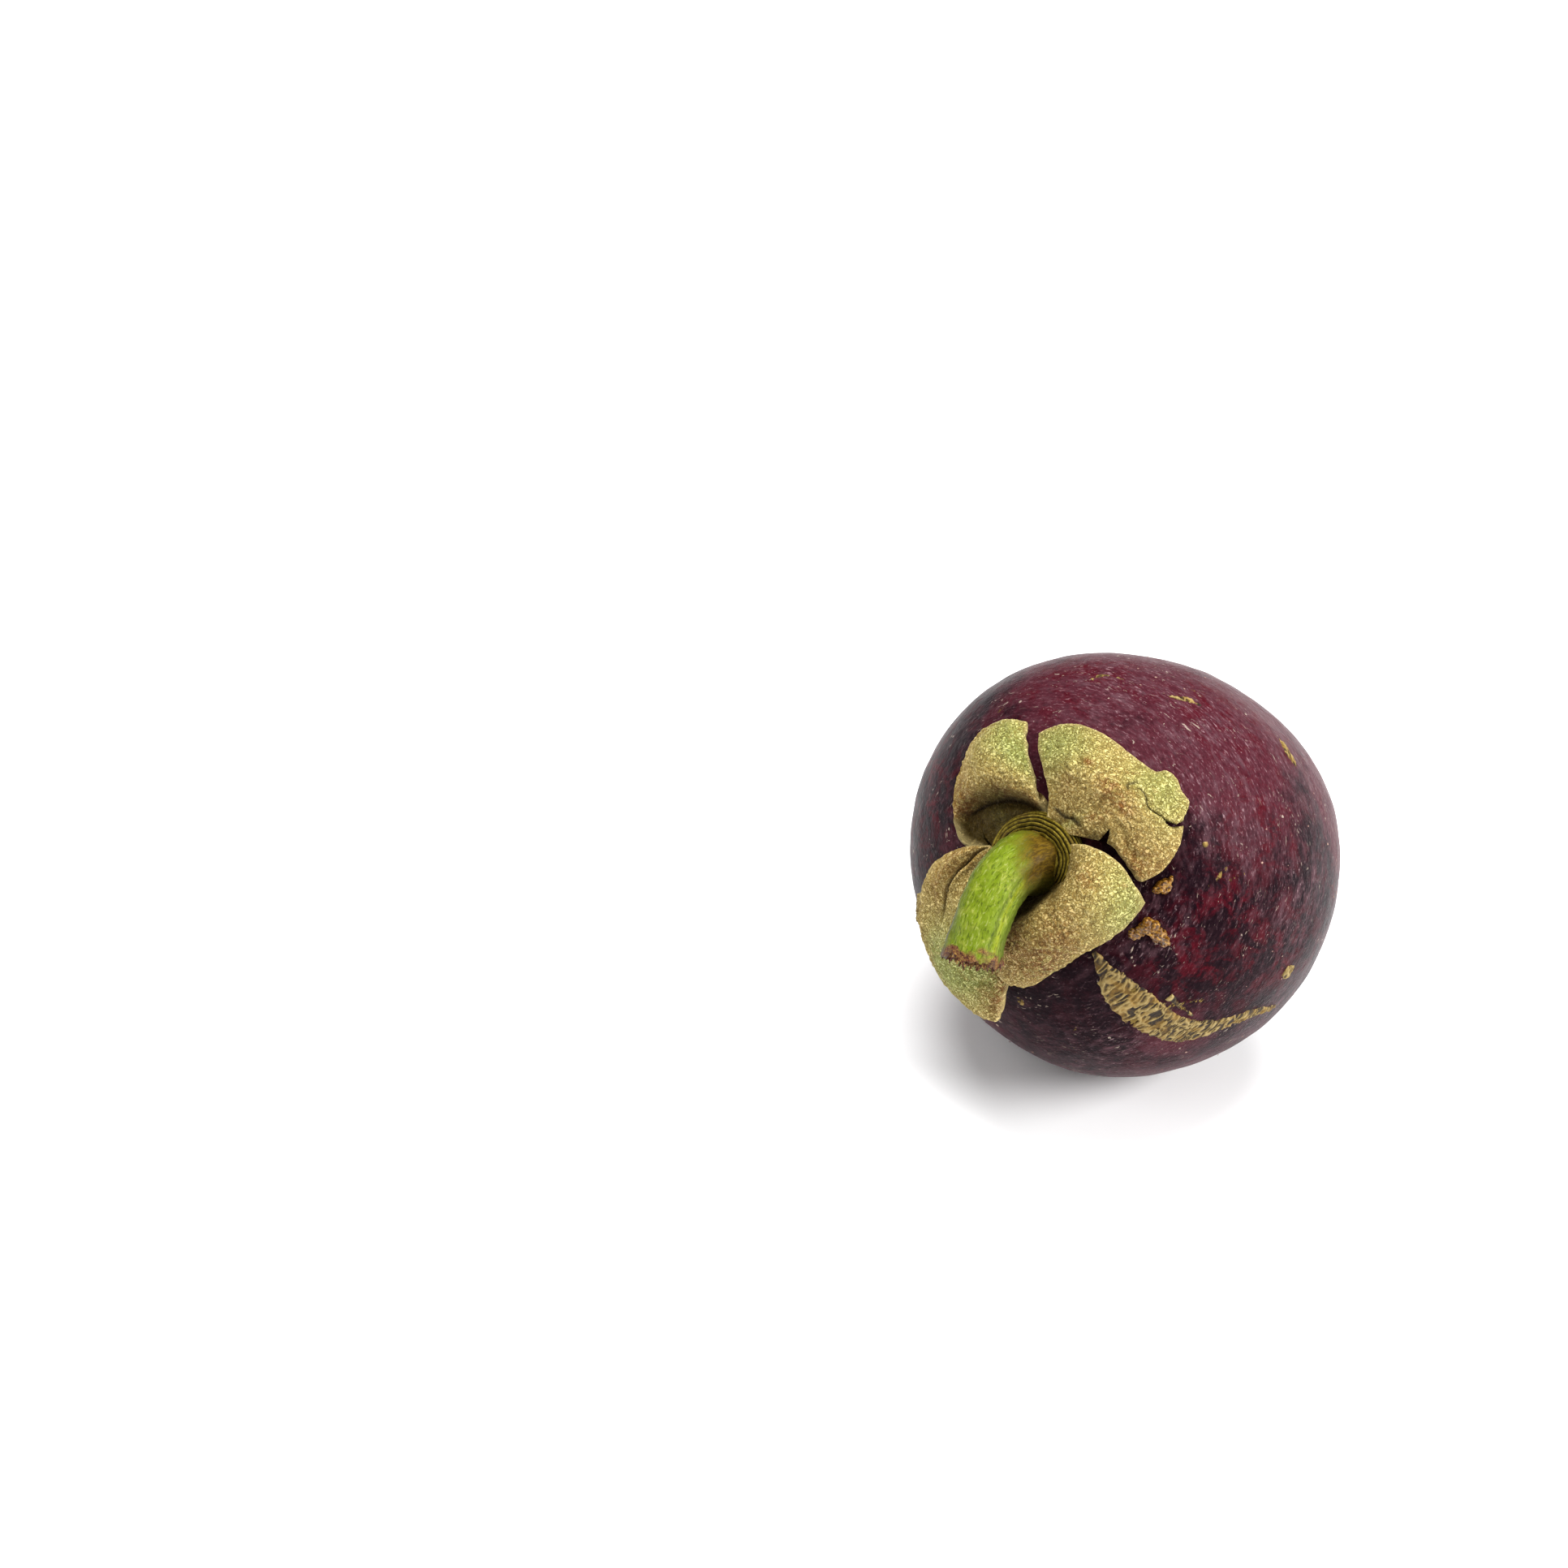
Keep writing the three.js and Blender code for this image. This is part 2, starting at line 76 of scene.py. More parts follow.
# Each sepal is a patch between four edges, as (colatitude, azimuth) points. lift is the height of its upper face
# over the skin: rows run from the collar to the tip, columns from its left margin to its right one. ledge is how
# far out a low middle reaches, as shares of the length from the left margin to the right one, its depth, and how
# wide its slope is; the low middle is painted with shade. folds are raised or sunk lines, as (share out, share
# across) points with a height and a half-width; narrow sunk folds are painted with shade inside. cuts are splits
# that are open at their first point. green, brown and dark are spots, as share out, share across, radius and
# strength. green and brown are the sepal's own colour, and some brown by the upper left sepal's collar is also
# painted shade; dark is painted shade, mostly by the collar and at some margins, and faintly over the middle of the
# lower right sepal.
SEPALS = {
    "upper_left": {
        "seed": 101,
        "left": [(7.6, 190), (13, 190), (18.0, 188.5), (21, 180), (24.2, 168), (28.5, 156), (33.6, 145.5)],
        "tip": [(33.6, 145.5), (35.4, 139), (35.6, 131), (35.4, 124), (34.6, 117)],
        "right": [(11.0, 86), (17, 98), (22.6, 107.5), (28, 113.5), (34.6, 117)],
        "lift": [
            (1.9, 1.6, 1.5, 1.4, 1.6),
            (2.4, 2.4, 3.2, 3.4, 2.6),
            (2.5, 3.5, 4.6, 4.4, 2.9),
            (2.7, 3.9, 4.9, 4.6, 3.2),
            (2.8, 3.8, 4.6, 4.3, 3.2),
            (2.6, 3.1, 3.4, 3.3, 2.9),
        ],
        "ledge": ([0.34, 0.30, 0.23, 0.18, 0.15], 2.6, 1.3),
        "folds": [
            ([(0.36, 0.08), (0.25, 0.25), (0.18, 0.55), (0.12, 0.95)], -0.35, 0.35),
            ([(0.10, 0.10), (0.08, 0.5), (0.05, 0.9)], 0.35, 0.4),
            ([(0.22, 0.05), (0.14, 0.3), (0.10, 0.6)], 0.3, 0.35),
            ([(0.2, 0.03), (0.6, 0.02), (0.9, 0.05)], 0.25, 0.4),
        ],
        "cuts": [([(0.02, 0.0), (0.12, 0.16)], 0.28)],
        "green": [(0.85, 0.75, 5.0, 0.8), (0.6, 0.95, 3.5, 0.6), (0.08, 0.5, 2.4, 0.9)],
        # the brown spots by the collar are dried colour and also painted shade on the step below the hump
        "brown": [(0.26, 0.22, 2.2, 1.0), (0.16, 0.6, 2.2, 0.9), (0.12, 0.9, 2.0, 0.9), (0.5, 0.05, 3.5, 0.6)],
        "dark": [(0.2, 0.25, 2.6, 0.8), (0.10, 0.55, 2.6, 0.8), (0.07, 0.85, 2.4, 0.8)],
    },
    "upper_right": {
        "seed": 111,
        "left": [(11.6, 78), (17, 88), (22, 99), (27, 107.5), (31.4, 110.5)],
        "tip": [
            (31.4, 110.5), (33.8, 104), (35.4, 96), (36.4, 85), (36.9, 75), (37.9, 66), (39.6, 59), (42.2, 57),
            (43.4, 53), (43.2, 48.5), (43.9, 44.5), (43.3, 42), (41.6, 38.5), (40.7, 33.5), (38.6, 26.5), (35.4, 19.5),
        ],
        "right": [(13.4, 49), (19, 38), (23, 32.5), (26.5, 22.5), (29.5, 14.5), (32.1, 14.6), (35.4, 19.5)],
        "lift": [
            (1.7, 1.7, 1.8, 2.0, 1.9),
            (2.4, 2.8, 3.0, 3.1, 2.4),
            (3.2, 4.3, 4.5, 4.1, 2.5),
            (3.6, 5.2, 5.2, 4.2, 2.1),
            (3.3, 4.6, 4.4, 3.5, 1.8),
            (2.8, 3.2, 2.2, 1.8, 1.5),
        ],
        "folds": [
            ([(0.80, 0.72), (0.73, 0.68), (0.74, 0.62), (0.76, 0.56)], -0.24, 0.13),
            ([(0.86, 0.53), (0.78, 0.53), (0.70, 0.58)], -0.15, 0.13),
            ([(0.30, 0.35), (0.55, 0.30), (0.85, 0.2)], -0.2, 0.7),
            ([(0.16, 0.1), (0.14, 0.5), (0.18, 0.9)], -0.25, 0.35),
            ([(0.8, 0.9), (0.6, 0.92), (0.45, 0.8)], -0.35, 0.5),
            ([(0.9, 0.62), (0.85, 0.66), (0.80, 0.70)], 0.35, 0.5),
        ],
        "cuts": [
            ([(1.0, 0.80), (0.88, 0.765), (0.78, 0.71), (0.73, 0.68)], 0.30),
            ([(0.36, 1.0), (0.37, 0.93), (0.39, 0.86)], 0.50),
        ],
        "green": [(0.80, 0.10, 5.0, 0.9), (0.9, 0.62, 3.5, 0.8), (0.1, 0.7, 2.5, 0.5)],
        "brown": [
            (0.65, 0.50, 1.6, 0.9), (0.51, 0.60, 1.8, 0.8), (0.51, 0.71, 1.3, 0.8), (0.31, 0.73, 1.5, 0.7),
            (0.72, 0.97, 3.0, 0.8), (0.7, 0.32, 0.7, 1.0), (0.4, 0.25, 2.2, 0.5),
        ],
        "dark": [(0.05, 0.5, 2.6, 0.6), (0.30, 0.98, 2.0, 0.8)],
    },
    "lower_right": {
        "seed": 121,
        "left": [(12.6, 41), (18, 34.5), (24, 25.5), (29, 14), (33, 5.5)],
        "tip": [(33, 5.5), (31.6, -6), (29.4, -20), (27.8, -34), (28.2, -48), (30.0, -58), (30.6, -66)],
        "right": [(10.0, -60), (16, -68), (24, -74), (28, -73), (30.6, -66)],
        "lift": [
            (1.8, 2.0, 2.0, 2.0, 2.0),
            (3.9, 5.6, 6.2, 6.2, 5.6),
            (4.4, 6.7, 7.2, 7.2, 6.5),
            (4.3, 6.3, 6.6, 6.6, 6.2),
            (3.8, 5.0, 5.2, 5.4, 5.4),
            (2.6, 2.8, 2.9, 3.3, 4.2),
        ],
        "ledge": ([0.03, 0.05, 0.09, 0.10, 0.16, 0.22], 1.6, 1.2),
        "folds": [
            ([(0.85, 0.8), (0.75, 0.62), (0.8, 0.45)], -0.25, 0.6),
            ([(0.55, 0.95), (0.6, 0.75), (0.66, 0.6)], -0.2, 0.5),
            ([(0.9, 0.35), (0.8, 0.5), (0.6, 0.62)], -0.2, 0.45),
        ],
        "cuts": [],
        "green": [(0.85, 0.12, 5.0, 0.8), (0.95, 0.7, 3.0, 0.6)],
        "brown": [(0.3, 0.2, 1.6, 0.7), (0.55, 0.55, 3.6, 0.7), (0.35, 0.9, 2.5, 0.8), (0.75, 0.75, 3.0, 0.8)],
        "dark": [(0.0, 0.5, 1.9, 1.0), (0.02, 0.8, 2.0, 1.0), (0.0, 0.2, 1.5, 0.8), (0.15, 0.98, 1.5, 0.8),
                 (0.6, 0.6, 6.0, 0.2)],
    },
    "lower_left": {
        "seed": 131,
        "left": [(7.6, -176), (13, -169), (20, -158), (24.5, -149.5), (28, -140), (31.5, -130)],
        "tip": [(31.5, -130), (35.6, -122), (38, -113), (39.4, -104), (40.6, -94.5), (41.8, -85), (41.0, -79.5)],
        "right": [(9.6, -88), (17, -79), (25, -73), (30, -73), (34, -75.5), (38.0, -77), (41.0, -79.5)],
        "lift": [
            (2.0, 2.0, 1.8, 1.7, 1.6, 1.6, 1.7),
            (3.2, 4.4, 4.4, 4.6, 4.6, 4.2, 3.4),
            (3.6, 5.2, 5.0, 5.4, 5.4, 4.6, 3.6),
            (4.0, 5.3, 4.9, 5.6, 5.4, 4.8, 4.0),
            (4.2, 5.0, 5.0, 5.3, 5.2, 5.0, 4.4),
            (4.3, 4.6, 4.7, 4.8, 4.8, 4.8, 4.6),
        ],
        "folds": [
            (
                [(0.03, 0.02), (0.09, 0.10), (0.14, 0.23), (0.20, 0.28), (0.26, 0.32), (0.33, 0.36), (0.40, 0.41),
                 (0.50, 0.46)], -0.7, 0.3,
            ),
            ([(0.06, 0.17), (0.11, 0.29), (0.17, 0.34), (0.24, 0.38), (0.31, 0.43)], 0.5, 0.45),
            ([(0.12, 0.01), (0.20, 0.14), (0.28, 0.21), (0.38, 0.29), (0.46, 0.38)], 0.6, 0.9),
            ([(0.62, 0.95), (0.72, 0.75), (0.66, 0.6)], -0.3, 0.6),
            ([(0.5, 0.62), (0.62, 0.75), (0.72, 0.9)], -0.2, 0.4),
        ],
        "cuts": [],
        "green": [(0.62, 0.72, 5.5, 1.0), (0.8, 0.5, 4.0, 0.8), (0.5, 0.85, 3.0, 0.7)],
        "brown": [
            (0.2, 0.04, 3.0, 0.5), (0.3, 0.2, 2.2, 0.4), (0.4, 0.3, 2.0, 0.4), (0.1, 0.3, 2.0, 0.4),
            (0.8, 1.0, 2.4, 1.0), (0.6, 1.0, 2.2, 0.9),
        ],
        "dark": [(0.0, 0.5, 2.4, 0.6), (0.4, 1.0, 2.4, 0.7)],
    },
}

# Corky marks in the rind: (colatitude, azimuth, half-width) along each one.
SCARS = [
    [
        (30.2, -29.6, 0.35), (34.2, -31.8, 0.9), (39.3, -32.9, 2.0), (46.9, -33.5, 2.7), (55.4, -32.8, 2.8),
        (63.1, -31.1, 2.35), (70.0, -26.7, 1.7), (75.2, -22.0, 1.2), (81.9, -18.2, 0.9), (91.9, -16.6, 0.35),
    ],
    [(51.8, -23.7, 0.5), (57.6, -24.5, 0.3), (61.6, -25.1, 0.15)],
    [(81.7, -5.6, 0.6), (83.5, -4.8, 1.1), (85.4, -4.2, 0.7)],
    [(39.4, -76.2, 0.4), (40.3, -76.1, 0.6), (41.3, -75.9, 0.4)],
    [(45.8, 29.4, 0.25), (46.4, 29.6, 0.36), (47.1, 29.8, 0.25)],
    [(84.8, 58.3, 0.25), (83.9, 54.4, 0.8), (84.5, 49.8, 0.45)],
    [(55.1, 105.0, 0.25), (58.5, 102.4, 0.32), (58.9, 95.4, 0.2)],
    [(60.3, 81.4, 0.2), (63.4, 77.5, 0.42), (65.0, 73.5, 0.25)],
    [(104, 150, 0.4), (109, 158, 1.3), (112, 168, 0.9), (113, 176, 0.3)],
    [(70, -142, 0.3), (74, -137, 0.8), (79, -135, 0.4)],
    [(118, 62, 0.3), (124, 69, 1.0), (131, 71, 0.5)],
]
# Places where the skin is only rubbed and frayed.
SCUFFS = [
    [(51.9, 22.3, 0.2), (49.6, 18.6, 0.5), (47.4, 15.7, 0.35)],
    [(56.9, 20.9, 0.3), (52.7, 18.2, 0.3)],
    [(46.7, 133.0, 0.35), (44.3, 139.0, 0.3)],
    [(66, 88, 0.15), (69, 80, 0.3), (70, 72, 0.15)],
    [(45, -52, 0.1), (49, -58, 0.25), (56, -62, 0.15)],
    [(62, -18, 0.3), (58, -21, 0.5), (54, -26, 0.3)],
]
THREAD = [(35.6, -14.7, 0.08), (37.2, -19.4, 0.09), (39.8, -21.9, 0.07)]  # one long pale scratch

SAP_BEADS = {
    "sap_bead_small": {
        "replaces": "latex_drop_small",
        "lumps": [(36.2, 13.1, 0.85, 0.75), (36.9, 15.0, 0.6, 0.6), (35.3, 11.4, 0.6, 0.5), (37.2, 11.6, 0.55, 0.45)],
    },
    "sap_bead_large": {
        "replaces": "latex_drop_large",
        "lumps": [
            (34.2, -10.4, 0.75, 0.5), (34.9, -8.4, 0.7, 0.5), (35.4, -6.0, 0.75, 0.6), (35.9, -3.4, 0.85, 0.95),
            (37.6, -3.2, 0.8, 0.9), (38.4, -5.2, 0.9, 0.9), (40.0, -5.4, 0.85, 0.8), (41.4, -7.0, 0.75, 0.55),
            (36.4, -5.2, 0.8, 0.8), (39.4, -7.4, 0.6, 0.5),
        ],
    },
}


# ---- settings that a user would change ----


def length(name, description, millimetres):
    return FloatProperty(
        name=name, description=description, default=millimetres * MM, subtype="DISTANCE", unit="LENGTH"
    )


def angle(name, description, degrees):
    return FloatProperty(name=name, description=description, default=math.radians(degrees), subtype="ANGLE")


def srgb(code):
    """The linear red, green, blue and alpha of an sRGB hex colour such as #4c2c3a."""
    channels = [int(code[i : i + 2], 16) / 255 for i in (1, 3, 5)]
    return [c / 12.92 if c <= 0.04045 else ((c + 0.055) / 1.055) ** 2.4 for c in channels] + [1.0]


def colour(name, description, code):
    return FloatVectorProperty(
        name=name, description=description, default=srgb(code), size=4, min=0, max=1, subtype="COLOR"
    )


class MANGOSTEEN_PG_rind(bpy.types.PropertyGroup):
    girth_radius: length("Girth radius", "Widest radius about the fruit's axis", 31)
    stem_end: length("Stem end", "From the fruit's centre to its stem end", 29)
    blossom_end: length("Blossom end", "From the fruit's centre to its blossom end", 28)
    tilt: angle("Tilt", "How far the stem leans over from upright", 60)
    flecks: IntProperty(name="Flecks", description="Raised pale specks per square centimetre", default=2, min=0)
    plum: colour("Plum", "Main colour of the ripe rind", "#4c222b")
    dark: colour("Dark", "Darkest parts of the rind", "#1b0c13")
    red: colour("Red", "Where the rind is less ripe", "#4c0c18")
    # bloom colour, which over the gloss patch also paints its highlight
    bloom: colour("Bloom", "Dull waxy bloom over the rind", "#604249")
    cork: colour("Cork", "Healed scars in the rind", "#7d6838")
    speck: colour("Speck", "Small pale specks and scratches", "#ab9a8c")


class MANGOSTEEN_PG_calyx(bpy.types.PropertyGroup):
    thickness: length("Thickness", "Thickness of a sepal at its middle", 1.4)
    wrinkles: length("Wrinkles", "Height of the wrinkles in a sepal's face", 0.14)
    tan: colour("Tan", "Main colour of a sepal", "#d0b56c")
    green: colour("Green", "Where a sepal is still green", "#b2b967")
    brown: colour("Brown", "Where a sepal has dried", "#9b652c")


class MANGOSTEEN_PG_stem(bpy.types.PropertyGroup):
    radius: length("Radius", "Radius of the stem at its middle", 3.75)
    collar_radius: length("Collar radius", "Radius of the ringed collar that the stem grows from", 6.7)
    green: colour("Green", "Fresh bark", "#667812")
    yellow: colour("Yellow", "Lighter bark along the stem's edges", "#848c15")
    brown: colour("Brown", "Bark at the stem's foot", "#413008")
    wood: colour("Wood", "Torn fibres at the cut end", "#7a5a30")


class MANGOSTEEN_PG_marks(bpy.types.PropertyGroup):
    rosette_radius: length("Rosette radius", "Radius of the flower mark at the blossom end", 6.2)
    lobes: IntProperty(name="Lobes", description="One for each segment inside the fruit", default=6, min=4)
    bark: colour("Bark", "Woody lobes of the flower mark", "#4f3427")
    sap: colour("Sap", "Dried yellow sap", "#684006")


class MANGOSTEEN_PG_studio(bpy.types.PropertyGroup):
    azimuth: angle("Azimuth", "Direction that the camera looks from", 43.4)
    elevation: angle("Elevation", "How far the camera looks down", 35)
    distance: length("Distance", "From the camera to the fruit's centre", 261)
    lens: FloatProperty(name="Lens", description="Focal length", default=39.6, subtype="DISTANCE_CAMERA")


# ---- smooth noise and curves, on arrays of points ----

# Large numbers that mix the bits of a cell's place and of a seed.
PLACE_MIXERS = (73856093, 19349663, 83492791)
SEED_MIXER = 2654435761
LAST_MIXER = 1274126177


def lattice(cells, seed):
    """Repeatable random numbers from -1 to 1, one for each whole-numbered cell."""
    x, y, z = (cells[..., k] * mixer for k, mixer in enumerate(PLACE_MIXERS))
    mixed = x ^ y ^ z ^ seed * SEED_MIXER
    mixed = ((mixed ^ (mixed >> 13)) * LAST_MIXER) & 0xFFFFFFFF
    return ((mixed ^ (mixed >> 15)) & 0xFFFF) / 32767.5 - 1


def ripple(points, size, seed=0):
    """Smooth bumps from -1 to 1 that are about size across. Each use has its own seed, so that no two match."""
    scaled = np.asarray(points) / size
    base = np.floor(scaled).astype(np.int64)
    part = scaled - base
    part = part * part * (3 - 2 * part)
    total = np.zeros(scaled.shape[:-1])
    for corner in itertools.product((0, 1), repeat=3):
        weight = np.prod(np.where(corner, part, 1 - part), axis=-1)
        total += weight * lattice(base + corner, seed)
    return total


def smooth_weights(count, shares):
    """Catmull-Rom weights of evenly spaced values, at shares from 0 to 1 of the way along them."""
    place = np.clip(shares, 0, 1) * (count - 1)
    left = np.minimum(place.astype(int), count - 2)
    t = place - left
    parts = (
        (-t + 2 * t**2 - t**3) / 2,
        (2 - 5 * t**2 + 3 * t**3) / 2,
        (t + 4 * t**2 - 3 * t**3) / 2,
        (t**3 - t**2) / 2,
    )
    weights = np.zeros((len(place), count))
    for offset, part in enumerate(parts):
        np.add.at(weights, (np.arange(len(place)), np.clip(left + offset - 1, 0, count - 1)), part)
    return weights


def even_curve(points, count):
    """Points at even steps along the smooth curve through a short list of points."""
    fine = smooth_weights(len(points), np.linspace(0, 1, 400)) @ np.array(points, float)
    travelled = np.r_[0, np.cumsum(np.linalg.norm(np.diff(fine, axis=0), axis=1))]
    steps = np.linspace(0, travelled[-1], count)
    return np.stack([np.interp(steps, travelled, fine[:, k]) for k in range(fine.shape[1])], axis=-1)


def path_distance(places, path):
    """Distance from each place to a line of points, and the share of the way along it of the nearest point."""
    best = np.full(places.shape[:-1], 1e9)
    share = np.zeros(places.shape[:-1])
    for i, (start, end) in enumerate(zip(path[:-1], path[1:])):
        run = end - start
        t = np.clip((places - start) @ run / max(run @ run, 1e-12), 0, 1)
        gap = np.linalg.norm(places - start - t[..., None] * run, axis=-1)
        share = np.where(gap < best, (i + t) / (len(path) - 1), share)
        best = np.minimum(gap, best)
    return best, share


def unit(vectors):
    return vectors / np.linalg.norm(vectors, axis=-1, keepdims=True)


# ---- the skin, and places on it ----


def settings():
    return bpy.context.scene.mangosteen_rind


def skin_radius(colatitude, azimuth):
    """From the fruit's centre to its skin, in millimetres, at angles in radians."""
    rind = settings()
    across = np.abs(np.sin(colatitude))
    along = np.cos(colatitude)
    end = np.where(along > 0, rind.stem_end, rind.blossom_end) / MM
    total = (across / (rind.girth_radius / MM)) ** PROFILE_POWER + (np.abs(along) / end) ** PROFILE_POWER
    oval = OVALNESS[0] * np.cos(2 * (azimuth - math.radians(OVALNESS[1])))
    corners = CORNERS[0] * np.cos(3 * (azimuth - math.radians(CORNERS[1])))
    return total ** (-1 / PROFILE_POWER) * (1 + across**2 * (oval + corners))


def skin_point(colatitude, azimuth, height=0.0):
    """Points over the skin, from angles in degrees and a height in millimetres."""
    polar, turn = np.radians(colatitude), np.radians(azimuth)
    out = np.stack([np.sin(polar) * np.cos(turn), np.sin(polar) * np.sin(turn), np.cos(polar) + 0 * turn], axis=-1)
    return out * (skin_radius(polar, turn) + height)[..., None]


def angles(points):
    """The colatitude, azimuth and distance from the centre of points, in radians and millimetres."""
    distance = np.linalg.norm(points, axis=-1)
    return np.arccos(np.clip(points[..., 2] / distance, -1, 1)), np.arctan2(points[..., 1], points[..., 0]), distance


def height_over_skin(points):
    polar, turn, distance = angles(points)
    return distance - skin_radius(polar, turn)


def turn_matrix():
    return np.array(Matrix.Rotation(settings().tilt, 3, "X"))


def fruit_centre():
    """Where the fruit's centre is: its round form fills the CAD fruit's box from side to side and at the top."""
    polar, turn = np.meshgrid(np.linspace(0, 180, 181), np.arange(0, 360, 2.0), indexing="ij")
    turned = skin_point(polar, turn).reshape(-1, 3) @ turn_matrix().T
    low, high = turned.min(axis=0), turned.max(axis=0)
    centre = (CAD_FRUIT[0] + CAD_FRUIT[1] - low - high) / 2
    centre[2] = CAD_FRUIT[1][2] - high[2]
    return centre


def to_row(points):
    """From millimetres about the fruit's centre to metres in the row frame."""
    return (points @ turn_matrix().T + fruit_centre()) * MM


# ---- making meshes ----


def make_piece(name, points, faces, material, values=None, in_row=False):
    """A smooth-shaded object from points and faces, with a number at each point for each named value."""
    mesh = bpy.data.meshes.new(name)
    placed = points if in_row else to_row(points)
    mesh.from_pydata(placed.tolist(), [], faces.tolist() if hasattr(faces, "tolist") else faces)
    mesh.update()
    set_values(mesh, values or {})
    mesh.shade_smooth()
    mesh.materials.append(material)
    return into_scene(bpy.data.objects.new(name, mesh))


def empty_piece(name, material):
    """A piece whose mesh a node tree will make."""
    return make_piece(name, np.zeros((3, 3)), np.array([[0, 1, 2]]), material)


def loose_object(name, shape):
    """An object that isn't in the scene yet, from a shape, which is used up."""
    mesh = bpy.data.meshes.new(name)
    shape.to_mesh(mesh)
    shape.free()
    return bpy.data.objects.new(name, mesh)


def set_values(mesh, values):
    for key, numbers in values.items():
        mesh.attributes.new(key, "FLOAT", "POINT").data.foreach_set("value", np.asarray(numbers, np.float32).ravel())


def read_points(mesh):
    flat = np.zeros(len(mesh.vertices) * 3)
    mesh.vertices.foreach_get("co", flat)
    return flat.reshape(-1, 3)


def reshape(piece, points, material):
    """Moves a piece's points, given about the fruit's centre, and gives it its material."""
    piece.data.vertices.foreach_set("co", to_row(points).ravel())
    piece.data.materials.clear()
    piece.data.materials.append(material)
    piece.data.update()
    face_outwards(piece.data)
    return piece


def into_scene(thing):
    bpy.context.scene.collection.objects.link(thing)
    return thing


def belongs(piece, slot, *nodes):
    """Hangs the piece on the root and hides the CAD nodes that it stands for. slot, its finish, is not used."""
    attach(piece, "root")
    if nodes:
        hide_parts(*nodes)


def face_outwards(mesh):
    shell = bmesh.new()
    shell.from_mesh(mesh)
    bmesh.ops.recalc_face_normals(shell, faces=shell.faces)
    shell.to_mesh(mesh)
    shell.free()


def used_only(points, faces, values):
    """Drops the points that no face uses."""
    kept, numbered = np.unique(faces, return_inverse=True)
    return points[kept], numbered.reshape(faces.shape), {key: np.ravel(v)[kept] for key, v in values.items()}


def plate(top, bottom, keep, values):
    """A closed plate between two grids of points. keep says which cells of the grid are there."""
    rows, columns = top.shape[:2]
    index = np.arange(rows * columns).reshape(rows, columns)
    cells = np.stack([index[:-1, :-1], index[:-1, 1:], index[1:, 1:], index[1:, :-1]], axis=-1)[keep]
    edges = np.stack([cells, np.roll(cells, -1, axis=1)], axis=-1).reshape(-1, 2)
    count = rows * columns
    codes = edges[:, 0] * count + edges[:, 1]
    rim = edges[~np.isin(codes, edges[:, 1] * count + edges[:, 0])]
    walls = np.stack([rim[:, 1], rim[:, 0], rim[:, 0] + count, rim[:, 1] + count], axis=-1)
    faces = np.concatenate([cells, cells[:, ::-1] + count, walls])
    points = np.concatenate([top.reshape(-1, 3), bottom.reshape(-1, 3)])
    doubled = {key: np.tile(np.ravel(v), 2) for key, v in values.items()}
    return used_only(points, faces, doubled)


def grid_normals(grid):
    """Unit normals of a grid of points whose rows run outwards and whose columns run across."""
    sideways = np.gradient(grid, axis=1)
    outwards = np.gradient(grid, axis=0)
    normal = np.cross(sideways, outwards)
    return normal / np.maximum(np.linalg.norm(normal, axis=-1, keepdims=True), 1e-9)


def plain_mesh(piece):
    """Turns a piece's modifiers into a plain mesh."""
    graph = bpy.context.evaluated_depsgraph_get()
    mesh = bpy.data.meshes.new_from_object(piece.evaluated_get(graph))
    old = piece.data
    piece.modifiers.clear()
    piece.data = mesh
    mesh.name = piece.name
    if isinstance(old, bpy.types.Mesh):
        bpy.data.meshes.remove(old)
    return piece


# ---- node trees ----


def add(tree, kind, own=None, inputs=None):
    """Adds a node. own holds its own properties; inputs are values, or sockets to link, by name or number."""
    node = tree.nodes.new(kind)
    for key, value in (own or {}).items():
        setattr(node, key, value)
    for key, value in (inputs or {}).items():
        if isinstance(value, bpy.types.NodeSocket):
            tree.links.new(value, node.inputs[key])
        else:
            node.inputs[key].default_value = value
    return node


def ramp(tree, value, stops):
    """A colour ramp of (place, colour) stops."""
    node = add(tree, "ShaderNodeValToRGB", inputs={0: value})
    elements = node.color_ramp.elements
    while len(elements) < len(stops):
        elements.new(0.5)
    for element, (place, shade) in zip(elements, stops):
        element.position = place
        element.color = shade
    return node.outputs["Color"]


def grey(amount):
    return (amount, amount, amount, 1)


def step(tree, value, low, high):
    """0 below low and 1 above high, smoothly."""
    node = add(tree, "ShaderNodeMapRange", {"interpolation_type": "SMOOTHSTEP"}, {0: value, 1: low, 2: high})
    return node.outputs[0]


def maths(tree, operation, first, second=0.5, third=0.5):
    return add(tree, "ShaderNodeMath", {"operation": operation}, {0: first, 1: second, 2: third}).outputs[0]


def times(tree, first, second):
    return maths(tree, "MULTIPLY", first, second)


def blend(tree, share, below, above, mode="MIX"):
    """One colour over another, where share says how much."""
    node = add(tree, "ShaderNodeMix", {"data_type": "RGBA", "blend_type": mode}, {0: share, 6: below, 7: above})
    return node.outputs[2]


def layers(tree, shade, *above):
    """Lays colours over a first one in turn. Each is given as how much of it shows, and the colour."""
    for share, colour_above in above:
        shade = blend(tree, share, shade, colour_above)
    return shade


def noise(tree, place, size, detail=3.0, roughness=0.55, distortion=0.0):
    """Cloudy noise whose features are about size millimetres across."""
    inputs = {"Vector": place, "Scale": 1 / (size * MM), "Detail": detail}
    inputs.update({"Roughness": roughness, "Distortion": distortion})
    return add(tree, "ShaderNodeTexNoise", inputs=inputs).outputs["Fac"]


def value_of(tree, name):
    return add(tree, "ShaderNodeAttribute", {"attribute_name": name}).outputs["Fac"]


